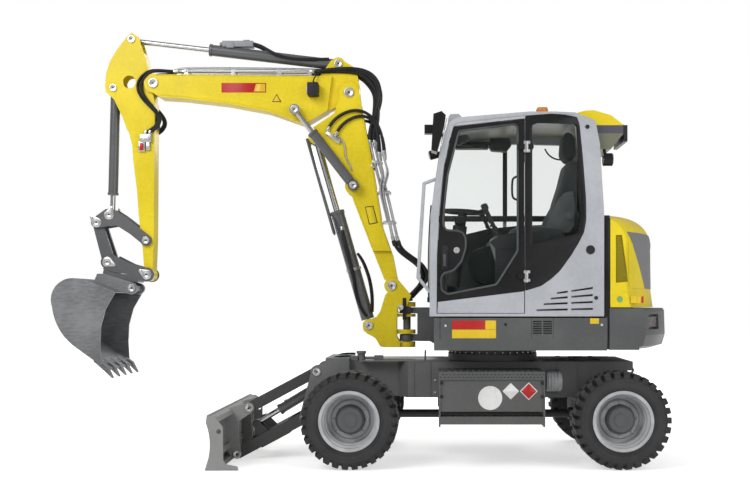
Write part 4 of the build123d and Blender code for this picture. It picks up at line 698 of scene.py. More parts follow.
def twin(obj, matrix):
    """A copy of a modelled piece, with a mesh of its own, carried by a matrix."""
    copy = linked(obj.name, obj.data.copy())
    copy.data.transform(matrix)
    return copy


def repeated(pattern, matrices):
    """Copies a modelled piece to each matrix and joins the copies."""
    copies = [twin(pattern, matrix) for matrix in matrices]
    bpy.data.objects.remove(pattern)
    return joined(copies)


def both(*parts, middle=ARM_MID):
    """Modelled parts and a mirror image of each in the plane at this y."""
    mirror = Matrix.Translation((0, middle / 500, 0)) @ Matrix.Scale(-1, 4, (0, 1, 0))
    images = [twin(part, mirror) for part in parts]
    for image in images:
        image.data.flip_normals()
    return [*parts, *images]


def moved(x, y, z):
    """A matrix that carries a piece modelled at the slew axis on the ground to a place, in millimetres."""
    return Matrix.Translation(at(x, y, z) - at(0, 0, 0))


def turned_about(place, axis, angle):
    """A matrix that turns a piece about a point in metres."""
    return Matrix.Translation(place) @ Matrix.Rotation(angle, 4, axis) @ Matrix.Translation(-place)


def piece(name, finish, body, *parts):
    """Joins parts into a named piece, gives it its finish and lets it ride on a body, unless it spans two."""
    obj = joined(parts)
    alone(obj)
    obj.name = name
    obj.data.name = name
    wear_finish(obj, finish)
    bpy.ops.object.shade_smooth_by_angle(angle=math.radians(35))
    alone()
    if body:
        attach(obj, body)
    return obj


# The machine's own places, in millimetres from the slew axis

WHEELS = (("front_left", -1205.0, -1), ("front_right", -1205.0, 1),
          ("rear_left", 995.0, -1), ("rear_right", 995.0, 1))
# Profiles of a wheel, as (y, radius) from its middle
TYRE_HALF = ((146.7, 232.8), (146.7, 246.8), (164, 248.6), (170.5, 258), (172, 262), (171, 266), (174.5, 288),
             (174.5, 300), (171.5, 318), (174, 322), (173.5, 330), (166, 346), (150, 359), (100, 365),
             (0, 366))
RIM_STEPS = ((160, 219.7), (120, 219), (105, 206), (60, 203), (52, 196), (-20, 194), (-28, 219.7))
PINS = (                    # place, body, middle, distances of the face and the cap's end from it, radius
    ((-901, 1501), "swing_body", ARM_MID, 100, 113, 42),
    ((-1107, 1143), "swing_body", ARM_MID, 100, 112, 37),
    ((-1285, 3237), "lower_boom_body", ARM_MID, 100, 114, 44),
    ((-1590, 2838), "lower_boom_body", ARM_MID, 100, 110, 38),
    ((-1241, 2394), "lower_boom_body", ARM_MID, 190.5, 202, 34),
    ((-1764, 3070), "adjust_rod_body", ARM_MID, 188, 198, 34),
    ((-1384, 3504), "upper_boom_body", ARM_MID, 62, 75, 36),
    ((-3044, 3320), "upper_boom_body", ARM_MID, 100, 113, 43),
    ((-3248, 3722), "stick_body", ARM_MID, 75, 87, 33),
    ((-3412, 3282), "stick_body", ARM_MID, 75, 87, 33),
    ((-3111, 1907), "stick_body", ARM_MID, 100.5, 112, 33),
    ((-3441, 2139), "rocker_body", ARM_MID, 100, 111, 31),
    ((-3556, 2070), "rocker_body", ARM_MID, 100, 111, 32),
    ((-3456, 1713), "bucket_body", ARM_MID, 100, 113, 33),
    ((-3106, 1600), "bucket_body", ARM_MID, 100, 113, 36),
    ((-3231, 1477), "bucket_body", ARM_MID, 130, 140, 35),
    ((-1631, 358), "chassis", 0.0, 361, 371, 34),
    ((-1529, 753), "chassis", 0.0, 361, 371, 34),
    ((-2216, 46), "blade_body", 0.0, 361, 370, 33),
    ((-2114, 441), "blade_body", 0.0, 361, 370, 34))
KEEPERS = (                 # place, body, the tail's direction in radians
    ((-3556, 2070), "rocker_body", 2.3), ((-3441, 2139), "rocker_body", 1.2),
    ((-3456, 1713), "bucket_body", -0.4), ((-3106, 1600), "bucket_body", 2.6))
# The hoses' places across the boom: offsets along Y and X at its back, and along Y beyond the knee
BACK_ROWS = ((-76, 0), (-38, 0), (0, 0), (38, 0), (76, 0), (-60, 40), (60, 40))
KNEE_ENDS = (-84, -70, -56, 0, 56, 70, 84)
ARM_SIGNS = (               # name, finish, body, rounding, back, front, outline
    ("boom_sign_red", "sign_red", "upper_boom_body", 6, -1.2, 0.2, oblong(-2432, -2030, 3236, 3322)),
    ("boom_sign_yellow", "sign_yellow", "upper_boom_body", 6, -1.9, -0.9,
     [(-2140, 3244), (-2122, 3314), (-2038, 3314), (-2038, 3244)]),
    ("boom_triangle_edge", "seal", "upper_boom_body", 8, -1.0, 0.2,
     [(-1978, 3150), (-1892, 3150), (-1935, 3224)]),
    ("boom_triangle", "sign_yellow", "upper_boom_body", 7, -1.8, -0.9,
     [(-1968, 3156), (-1902, 3156), (-1935, 3213)]),
    ("lower_boom_plate_edge", "seal", "lower_boom_body", 8, -1.0, 0.2,
     [(-1143, 2209), (-1066, 2219), (-1027, 2063), (-1105, 2048)]),
    ("lower_boom_plate", "yellow", "lower_boom_body", 6, -1.7, -0.9,
     [(-1136, 2203), (-1071, 2211), (-1035, 2069), (-1099, 2055)]))
DOOR_WINDOW = [(-322, 2727), (127, 2782), (150, 2758), (150, 1762), (-21, 1492), (-415, 1414),
               (-462, 1448), (-468, 1540), (-446, 1582), (-365, 1606), (-302, 1679), (-268, 1785),
               (-268, 1865), (-291, 1908), (-323, 1923), (-426, 1930), (-450, 1975), (-440, 2130),
               (-412, 2380)]
# The cab's air slots, each from one (x, z) to another, with one gap in all of them
SLOT_ROWS = ((466, 1423, 755, 1465), (417, 1379, 755, 1408), (360, 1334, 755, 1352), (302, 1286, 755, 1297))
SLOT_BREAK = 567
REAR_BAND = [(210, 2852), (420, 2866), (533, 2858), (628, 2840), (648, 2780), (674, 2525), (700, 2187),
             (702, 2018), (685, 1916), (640, 1826), (578, 1724), (488, 1600), (420, 1538), (341, 1482),
             (210, 1441)]
REAR_CLEAR = [(268, 1815), (268, 2776), (307, 2790), (598, 2784), (618, 2765), (642, 2413), (657, 2187),
              (657, 2052), (644, 1984), (630, 1905)]
SEAT_BACK = [(470, 1956), (492, 1913), (600, 1905), (677, 1949), (706, 2080), (671, 2116), (677, 2330),
             (689, 2497), (642, 2545), (576, 2509), (532, 2330), (488, 2197), (462, 2080)]
SEAT_BASE = [(105, 1872), (112, 1950), (190, 1990), (420, 1985), (560, 1975), (570, 1880), (540, 1800),
             (150, 1800)]
SEAT_HEAD = [(546, 2593), (552, 2700), (575, 2772), (610, 2784), (659, 2748), (677, 2593), (640, 2545),
             (594, 2530)]
SEAT_SHELL = [(585, 1890), (640, 1890), (712, 1960), (740, 2100), (722, 2330), (726, 2520), (690, 2550),
              (672, 2330), (690, 2100), (650, 1990)]
SEAT_COVER = [(508, 2205), (565, 2262), (628, 2270), (650, 2120), (640, 1990), (603, 1926), (428, 1922),
              (400, 1975), (428, 2060)]
# The hood's tail, as (radius, z) round the slew axis
TAIL_PROFILE = ((1384, 1464), (1381, 1640), (1379.5, 1800), (1382, 1830), (1382, 1850), (1375.5, 1893),
                (1367, 1920))
UPPER_SIGNS = (("skirt_sign_red", "sign_red", (-378, -110, 1132, 1203)),
               ("skirt_sign_dark", "sign_yellow", (-110, -24, 1132, 1203)),
               ("skirt_sign_yellow", "sign_yellow", (-378, -24, 1060, 1130)),
               ("skirt_plate", "sign_yellow", (732, 804, 1177, 1221)))


# Wheels

def tread_lug():
    """One tread block at the top of a wheel whose middle is the row's origin, outboard of its centre plane."""
    alone()
    bpy.ops.mesh.primitive_cube_add(size=1.0, location=(0.0, 0.090, 0.3655))
    lug = bpy.context.object
    lug.scale = (0.049, 0.166, 0.055)
    bpy.ops.object.transform_apply(location=True, rotation=False, scale=True)
    picked(lug, "EDGE", lambda middle, run: middle.y > 0.17 and middle.z > 0.39)
    bpy.ops.mesh.bevel(offset=0.034, segments=3)
    bpy.ops.object.mode_set(mode="OBJECT")
    picked(lug, "EDGE", lambda middle, run: middle.y < 0.008 and middle.z > 0.39)
    bpy.ops.mesh.bevel(offset=0.012, segments=1)
    bpy.ops.object.mode_set(mode="OBJECT")
    return edges_rounded(lug, 0.0035)


class EXCAVATOR_OT_wheels(bpy.types.Operator):
    """Tyres with their tread blocks, the stepped dishes of the rims and the wheel nuts"""
    bl_idname = "excavator.wheels"
    bl_label = "Wheels"

    def execute(self, context):
        count = context.scene.excavator_look.lug_count
        for name, x, sign in WHEELS:
            centre = at(x, sign * WHEEL_MID, WHEEL_Z)
            finish = name.split("_")[0]
            carcass = spun([*TYRE_HALF, *((-y, radius) for y, radius in reversed(TYRE_HALF[:-1]))], centre)
            places = []
            for row, lean in ((0, 7), (1, -7)):
                slant = turned_about(Vector((0, 0.09, 0.365)), "Z", math.radians(lean))
                side = Matrix.Rotation(math.pi * row, 4, "Z")
                for lug in range(count):
                    turn = Matrix.Rotation(2 * math.pi * (lug + row / 2) / count, 4, "Y")
                    places.append(Matrix.Translation(centre) @ turn @ side @ slant)
            lugs = repeated(tread_lug(), places)
            tyre = piece(name + "_tread", "tyre_" + finish, name + "_wheel", carcass, lugs)
            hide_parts(name + "_tyre")
            dish = spun([(sign * y, radius) for y, radius in RIM_STEPS], centre)
            nut = peg(x, WHEEL_Z + 139, sign * 794, sign * 810, 14, ((0, 8), (7, 8)), 6, 0.8)
            nuts = repeated(nut, [turned_about(centre, "Y", 2 * math.pi * step / 8) for step in range(8)])
            piece(name + "_dish", "rim_" + finish, name + "_wheel", dish, nuts)
            piece(name + "_hub_cap", "rim_" + finish, name + "_wheel",
                  cap(x, WHEEL_Z, sign * 873, sign * 880, 58, 44, -3, 40, 1.5))
        return {"FINISHED"}


class EXCAVATOR_OT_pins(bpy.types.Operator):
    """Bright turned heads on the pivot pins, and the keeper plates of the bucket linkage"""
    bl_idname = "excavator.pins"
    bl_label = "Pin heads"

    def execute(self, context):
        scale = context.scene.excavator_look.pin_scale
        for number, ((x, z), body, middle, face, end, radius) in enumerate(PINS):
            steps = [(rise, radius * part) for rise, part in ((0, 0.72), (-2, 0.72), (0, 0.3), (-1, 0.3))]
            head = peg(x, z, middle + face, middle + end, radius * scale, steps, 32, 2.0)
            piece(f"pin_head_{number:02d}", "zinc", body, *both(head, middle=middle))
            plug = cap(x, z, middle + end - 5, middle + end - 2.2, radius * 0.26 * scale, radius * 0.12, -0.8,
                       20, 0.4)
            piece(f"pin_plug_{number:02d}", "plastic", body, *both(plug, middle=middle))
        for number, ((x, z), body, lean) in enumerate(KEEPERS):
            tail_x, tail_z = x + 62 * math.cos(lean), z + 62 * math.sin(lean)
            piece(f"pin_keeper_{number:02d}", "zinc", body, *both(
                slab(pear((x, z), 46, (tail_x, tail_z), 17), ARM_MID + 100.2, ARM_MID + 105, 1.2),
                peg(tail_x, tail_z, ARM_MID + 104.5, ARM_MID + 112.5, 10, (), 6, 0.8)))
        return {"FINISHED"}


# Hoses and pipes

class EXCAVATOR_OT_hoses(bpy.types.Operator):
    """Hydraulic hoses and steel pipes along the boom, the stick and the boom's foot"""
    bl_idname = "excavator.hoses"
    bl_label = "Hoses"

    def execute(self, context):
        thick = context.scene.excavator_look.hose_radius * 1000
        self.back(thick)
        self.foot(thick)
        self.knee(thick)
        self.tip(thick)
        self.sides(thick)
        self.cylinder(thick)
        return {"FINISHED"}

    def back(self, thick):
        """The steel pipes up the lower boom's back."""
        rows = [moved(out, ARM_MID + offset, 0) for offset, out in BACK_ROWS]
        pipe = line(0, 12, (-893, 1930), (-905, 1975), (-958, 2250), (-1085, 2700), (-1098, 2780))
        piece("boom_back_pipes", "pipe", "lower_boom_body", repeated(pipe, rows))
        unions = joined([bolt((-899, 0, 1952), (-886, 0, 1905), thick - 1, 1.5),
                         bolt((-1094, 0, 2755), (-1102, 0, 2815), thick - 1, 1.5)])
        piece("boom_back_unions", "zinc", "lower_boom_body", repeated(unions, rows))
        collars = joined([drum((-886, 0, 1905), (-875.6, 0, 1867.4), thick + 2.5, (), 20),
                          drum((-1102, 0, 2815), (-1108.4, 0, 2863), thick + 2.5, (), 20)])
        piece("boom_back_collars", "plastic", "lower_boom_body", repeated(collars, rows))
        clamps = []
        for x_low, x_high, z in ((-1002, -870, 2060), (-1040, -918, 2330), (-1085, -994, 2600)):
            clamps.append(beam(x_low, x_high, ARM_MID, 94, z, z + 26))
            for y in (ARM_MID - 30, ARM_MID, ARM_MID + 30):
                clamps.append(bolt((x_high - 2, y, z + 13), (x_high + 7, y, z + 13), 8, 0.8))
        piece("boom_back_clamps", "zinc", "lower_boom_body", *clamps)

    def foot(self, thick):
        """The hoses from the lower boom down into the swing bracket, and their guide."""
        foot = []
        for (offset, out), bow in zip(BACK_ROWS, (0, 16, 30, 16, 0, 44, 44)):
            end = out * 0.7
            foot.append(line(ARM_MID + offset, thick, (-886 + out, 1908), (-872 + out, 1855),
                             (-820 + out, 1795), (-710 + bow, 1725), (-632 + bow, 1650), (-622 + bow, 1560),
                             (-665 + end, 1480), (-722 + end, 1432), (-748 + end, 1396)))
        hoses = piece("boom_foot_hoses", "hose", None, *foot)
        at(-840, ARM_MID, 1820)
        at(-690, ARM_MID, 1470)
        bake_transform(hoses)
        unions = [bolt((-748, ARM_MID + offset, 1396), (-742, ARM_MID + offset, 1428), thick + 4)
                  for offset, out in BACK_ROWS[:5]]
        piece("hose_guide", "plastic", "swing_body", beam(-806, -716, ARM_MID, 98, 1362, 1402, 8),
              *both(box(-804, -772, ARM_MID + 100.2, ARM_MID + 108, 1194, 1390)), *unions)
        piece("hose_guide_discs", "zinc", "swing_body",
              *both(cap(-820, 1305, ARM_MID + 60, ARM_MID + 126, 26, 19, -2, 32, 1.0)))

    def knee(self, thick):
        """The hoses over the joint of the two booms, with the collars and unions at their ends."""
        knee = []
        # Offsets at the start, over the knee and at the end, depth under the outermost, place at the back
        for start, spread, end, low, out in ((0, 0, 0, 76.8, 0), (38, 84, 56, 20.8, 0), (76, 94, 84, 0, 0),
                                             (60, 74, 70, 51.2, 40)):
            y, wide, far = ARM_MID + start, ARM_MID + spread, ARM_MID + end
            knee.append(tube([(-1102 + out, y, 2815), (-1104 + out, y, 2880), (-1074 + out, y, 2990),
                              (-1030 + out / 2 - low * 0.4, wide, 3110), (-1002 - low * 0.7, wide, 3225),
                              (-1018 - low, wide, 3330 - low * 0.4), (-1086 - low, wide, 3412 - low * 0.5),
                              (-1200 - low * 0.4, wide, 3452 - low * 0.55), (-1370, wide, 3452 - low * 0.35),
                              (-1500, far, 3440 - low * 0.2), (-1600, far, 3426)], thick))
        hoses = piece("knee_hoses", "hose", None, knee[0], *both(*knee[1:]))
        at(-1060, ARM_MID, 3020)
        at(-1330, ARM_MID, 3470)
        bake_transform(hoses)
        collar = drum((-1540, 0, 3431), (-1585, 0, 3429), thick + 2.5, (), 20)
        piece("knee_collars", "plastic", "upper_boom_body",
              repeated(collar, [moved(0, ARM_MID + offset, 0) for offset in KNEE_ENDS]))
        ends = [(-1640, offset) for offset in KNEE_ENDS]
        ends += [(x, offset) for x in (-2868, -2790) for offset in (-84, -56, 56, 84)]
        union = bolt((0, 0, 3430), (52, 0, 3430), 17)
        piece("pipe_unions", "zinc", "upper_boom_body",
              repeated(union, [moved(x, ARM_MID + offset, 0) for x, offset in ends]))

    def tip(self, thick):
        """The pipes on the upper boom, the hoses from them to the stick, and the valves there."""
        piece("upper_pipes", "pipe", "upper_boom_body", *both(
            line(ARM_MID + 70, 11, (-2860, 3440), (-2800, 3462), (-2700, 3462), (-1560, 3452), (-1490, 3440))))
        tip = []
        for step in (0, 1):
            lean, start = 34 * step, -9 - 32 * step
            tip.append(line(ARM_MID + 93 + 4 * step, thick - 4, (-2868, 3430, start), (-2953, 3436, start),
                            (-3052 + lean / 2, 3444 - lean / 3), (-3120 + lean, 3414), (-3178 + lean, 3352),
                            (-3194 + lean, 3285), (-3166 + lean, 3205), (-3100 + lean * 0.8, 3135),
                            (-3022 + lean * 0.5, 3060), (-2990 + lean * 0.4, 3000), (-3008 + lean * 0.5, 2950),
                            (-3058 + lean, 2908), (-3110 + lean, 2880, -3 - 4 * step)))
        hoses = piece("stick_hoses", "hose", None, *both(*tip))
        at(-2980, ARM_MID, 3440)
        at(-3180, ARM_MID, 3330)
        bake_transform(hoses)
        inner = ARM_MID + 74.8
        piece("stick_valves", "zinc", "stick_body", *both(
            box(-3166, -3060, inner, ARM_MID + 106, 2790, 2862, 4),
            box(-3180, -3120, inner, ARM_MID + 98, 2705, 2800, 4),
            box(-3112, -3074, inner, ARM_MID + 98, 2720, 2795, 4),
            *(bolt((x, ARM_MID + 90, 2858), (x + 12, ARM_MID + 90, 2896), 17) for x in (-3122, -3084))))
        piece("valve_handles", "red", "stick_body",
              *both(box(-3166, -3134, ARM_MID + 97, ARM_MID + 108, 2716, 2782)))

    def sides(self, thick):
        """The hoses, fittings and thin lines on the lower boom's sides."""
        piece("boom_side_hoses", "hose", "lower_boom_body", *both(
            line(ARM_MID + 119, thick - 3, (-1464, 2920), (-1440, 2965), (-1368, 3035), (-1230, 3085),
                 (-1105, 3050), (-1005, 2925), (-978, 2800), (-973, 2705)),
            line(ARM_MID + 118, thick - 3, (-1394, 2872), (-1372, 2915), (-1316, 2975), (-1213, 3024),
                 (-1127, 3020), (-1058, 2975), (-1022, 2880), (-1016, 2690))))
        face, out = ARM_MID + 99.8, ARM_MID + 118
        manifold = box(-1500, -1352, face, ARM_MID + 124, 2812, 2850, 4)
        manifold.data.transform(turned_about(at(-1426, face, 2832), "Y", math.radians(38)))
        fittings = [bolt((x, out, z), (far_x, out, far_z), 17, 1.5) for x, z, far_x, far_z in (
            (-1478, 2885, -1458, 2928), (-1408, 2838, -1388, 2882), (-973, 2712, -972, 2660),
            (-1016, 2698, -1012, 2646))]
        piece("boom_side_fittings", "zinc", "lower_boom_body",
              *both(manifold, *fittings, box(-1088, -1062, face, ARM_MID + 112, 2560, 2586, 2)))
        piece("boom_side_lines", "pipe", "lower_boom_body", *both(
            line(out, 7, (-1385, 2843), (-1340, 2800), (-1317, 2756, -6), (-1325, 2672, -8), (-1290, 2610, -8),
                 (-1266, 2568, -8), (-1257, 2533, -14)),
            line(out, 9, (-972, 2660), (-965, 2620), (-940, 2560), (-946, 2500), (-975, 2420, -6),
                 (-984, 2330, -14), (-960, 2230, -26), (-925, 2080, -30)),
            line(out, 9, (-1012, 2646), (-1004, 2600), (-985, 2550), (-985, 2490), (-1005, 2410, -6),
                 (-1006, 2330, -14), (-978, 2230, -18), (-940, 2080, -20))))

    def cylinder(self, thick):
        """The hoses, the band and the guard's rails of the boom cylinder."""
        piece("boom_cylinder_hoses", "hose", "boom_barrel_body", *both(
            line(ARM_MID + 66, thick - 2, (-1352, 2010, -4), (-1340, 1960, 4), (-1308, 1820, 10),
                 (-1268, 1680, 8), (-1246, 1590, 8), (-1236, 1480, 10), (-1216, 1370, 8), (-1170, 1270),
                 (-1128, 1225, -4)),
            line(ARM_MID + 66, thick - 4, (-1212, 1790, -30), (-1175, 1745), (-1130, 1640, 4),
                 (-1095, 1520, 4), (-1078, 1380), (-1085, 1262, -4))))
        lean = math.radians(-16)
        turns = [math.radians(step * 22.5) for step in range(16)]
        band = [tube([(-1249 + 66 * math.cos(turn) * math.cos(lean) + rise * math.sin(lean),
                       ARM_MID + 66 * math.sin(turn),
                       1640 - 66 * math.cos(turn) * math.sin(lean) + rise * math.cos(lean)) for turn in turns],
                     5.5, cyclic=True) for rise in (0, 9, 18)]
        piece("cylinder_guard_rails", "barrel", "boom_rod_body",
              *both(line(ARM_MID + 27, 13, (-1672, 2832), (-1664, 2800), (-1426, 1972))))
        elbow = bolt((-1356, ARM_MID + 60, 2032), (-1350, ARM_MID + 62, 2000), 18, 1.5)
        piece("boom_cylinder_band", "zinc", "boom_barrel_body", *band, *both(elbow))


class EXCAVATOR_OT_boom_trim(bpy.types.Operator):
    """Small parts of the arm: the valve on the stick cylinder, cylinder pipes, bumper, signs and weld seams"""
    bl_idname = "excavator.boom_trim"
    bl_label = "Arm trim"

    def execute(self, context):
        side, face = ARM_MID + 100, ARM_MID - 100
        piece("stick_cylinder_valve", "valve", "stick_barrel_body",
              beam(-2437, -2156, ARM_MID, 50, 3662, 3716, 5), beam(-2400, -2330, ARM_MID, 58, 3650, 3700, 4),
              beam(-2250, -2190, ARM_MID, 30, 3712, 3728),
              *(bolt((-2437, y, 3690), (-2462, y, 3690), 18) for y in (ARM_MID - 20, ARM_MID + 24)))
        piece("stick_cylinder_lines", "hose", "stick_barrel_body", *both(
            line(ARM_MID + 62, 14, (-2156, 3690, -28), (-2100, 3676, -12), (-2040, 3640, 6), (-1960, 3590, 14),
                 (-1850, 3550, 8), (-1700, 3540), (-1560, 3545, -6), (-1470, 3550, -18))))
        piece("stick_bumper", "seal", "stick_body", beam(-3039, -3019, ARM_MID, 46, 2916, 3052, 6))
        for name, finish, body, reach, back, front, outline in ARM_SIGNS:
            piece(name, finish, body, plate(outline, reach, face + back, face + front, 0.3))
        piece("upper_boom_welds", "yellow", "upper_boom_body", *both(
            line(side, 4, (-2990, 3216), (-2789, 3202), (-2387, 3155), (-2015, 3085), (-1720, 2980),
                 smooth=False),
            line(side, 4, (-3020, 3392), (-2600, 3388), (-2100, 3383), (-1500, 3377), smooth=False)))
        piece("lower_boom_welds", "yellow", "lower_boom_body", *both(
            line(side, 4, (-1080, 1860), (-1232, 2262), (-1262, 2356), (-1580, 2900), smooth=False),
            line(side, 4, (-925, 1840), (-1000, 2040), (-1108, 2700), (-1168, 2990), smooth=False)))
        piece("boom_cylinder_pipes", "barrel", "boom_barrel_body", *both(
            line(ARM_MID + 76, 9, (-1240, 1490, -4), (-1262, 1560), (-1400, 2010), (-1420, 2075, -2),
                 (-1436, 2110, -26))))
        piece("boom_lamp_housing", "plastic", "upper_boom_body",
              box(-1650, -1552, ARM_MID - 213, ARM_MID - 101, 3192, 3308, 9),
              box(-1610, -1590, ARM_MID - 130, ARM_MID - 99.8, 3300, 3330, 4))
        piece("boom_lamp_cable", "hose", "upper_boom_body",
              line(ARM_MID - 150, 6, (-1600, 3305), (-1606, 3345), (-1585, 3380, 20), (-1560, 3400, 42)))
        return {"FINISHED"}


# Cab

class EXCAVATOR_OT_cab_trim(bpy.types.Operator):
    """Window bands, door panel, mouldings, handles, hinges and caps of the cab"""
    bl_idname = "excavator.cab_trim"
    bl_label = "Cab trim"

    def execute(self, context):
        face = -CAB_SIDE
        piece("rear_window_band", "black", "upper",
              plate(REAR_BAND, 26, face - 2.5, face + 0.2, 1.0, holes=[eased(REAR_CLEAR, 22)]))
        self.door(face)
        self.side(face)
        piece("rain_strip", "silver", "upper",
              line(face - 1, 6, (-372, 2776), (-330, 2800), (0, 2836), (209, 2856), (420, 2872), (600, 2862),
                   smooth=False))
        # A dark seam along the cab's foot, and black strips in the gap between the cab and the hood as painted
        # shade
        piece("cab_rear_seam_and_gap_shade", "seal", "upper",
              line(face + 6, 4, (-500, 1259), (-505, 1259), (209, 1259), smooth=False),
              *both(box(852, 892, face + 5, face + 9, 1232, 2046, 1.5), middle=0))
        piece("windscreen_moulding", "seal", "upper",
              *(line(y, 9, (-552, 1345), (-554, 1700), (-546, 2052), (-506, 2320), (-466, 2600), (-446, 2700))
                for y in (face + 62, -42)))
        piece("windscreen_wiper", "plastic", "upper",
              line(-455, 6, (-568, 1380), (-574, 1600), (-572, 1900, 25), (-548, 2180, 50)),
              drum((-556, -455, 1372), (-580, -455, 1372), 22, (), 24))
        pane = box(-446, -437, -956, -822, 2600, 2840, 2.0)
        pane.data.transform(turned_about(at(-442, -889, 2720), "Y", math.radians(12)))
        piece("mirror_pane", "mirror", "upper", pane)
        return {"FINISHED"}

    def door(self, face):
        """The door's lower panel, window moulding, handles and lock."""
        piece("door_lower_panel", "silver", "door_body",
              plate([(-492, 1352), (203, 1438), (203, 1263), (-496, 1263)], 5, face - 2.5, face + 0.2, 1.0))
        piece("door_window_moulding", "moulding", "door_body",
              line(face - 1, 9, *eased(DOOR_WINDOW, 30), cyclic=True))
        piece("door_handle", "plastic", "door_body",
              plate(oblong(-462, -412, 1618, 1806), 10, face - 6, face + 0.2, 1.5),
              plate(oblong(-452, -424, 1630, 1770), 8, face - 24, face - 4, 5.0))
        piece("door_handle_lever", "moulding", "door_body",
              plate(oblong(-449, -428, 1640, 1735), 6, face - 27, face - 22, 1.5))
        piece("door_lock", "zinc", "door_body",
              peg(-341, 1769, face + 0.2, face - 5, 25, ((0, 18), (-2, 18), (0, 9), (3, 9)), 36, 1.0))
        piece("door_grab_handle", "plastic", "door_body",
              line(face + 50, 9, (150, 2367, -2), (118, 2360), (108, 2334), (108, 2212), (118, 2186),
                   (150, 2179, -2)))

    def side(self, face):
        """Caps, hinge covers, and dark wedges in the air slots as painted shade, on the fixed side of the cab.
        """
        caps = [cap(x, z, face + 0.2, face - 5, radius, radius * 0.5, -2, 28, 1.2)
                for x, z, radius in ((711, 2762, 17), (781, 1386, 15))]
        caps.append(peg(736, 1772, face + 0.2, face - 6, 36, ((0, 26), (-3, 26), (0, 9), (4, 9)), 36))
        turns = [turned_about(at(736, face, 1772), "Y", math.radians(45 + 90 * turn)) for turn in range(4)]
        caps.append(repeated(box(709, 726, face - 5, face - 2, 1768, 1776, 0.8), turns))
        piece("cab_side_caps", "plastic", "upper", *caps)
        hinge = joined([plate(oblong(206, 232, -46, 46), 5, face - 27, face - 20.3, 1.5),
                        *(peg(219, z, face - 26, face - 32, 7, (), 6, 0.8) for z in (-28, 28))])
        piece("door_hinge_covers", "zinc", "upper", repeated(hinge, [moved(0, 0, z) for z in (1555, 2599)]))
        # Dark wedges set just inside the air slots: painted shade in the slots
        slots = []
        for x_low, z_low, x_high, z_high in SLOT_ROWS:
            slope = (z_high - z_low) / (x_high - x_low)
            for start, end in ((x_low + 2, SLOT_BREAK - 15), (SLOT_BREAK + 15, x_high - 2)):
                z_start, z_end = z_low + slope * (start - x_low), z_low + slope * (end - x_low)
                wedge = [(start, z_start - 3), (end, z_end - 7), (end, z_end + 7), (start, z_start + 3)]
                slots.append(slab(wedge, face + 2.0, face + 7.2, 0.5))
        piece("cab_air_slot_shade", "seal", "upper", *slots)


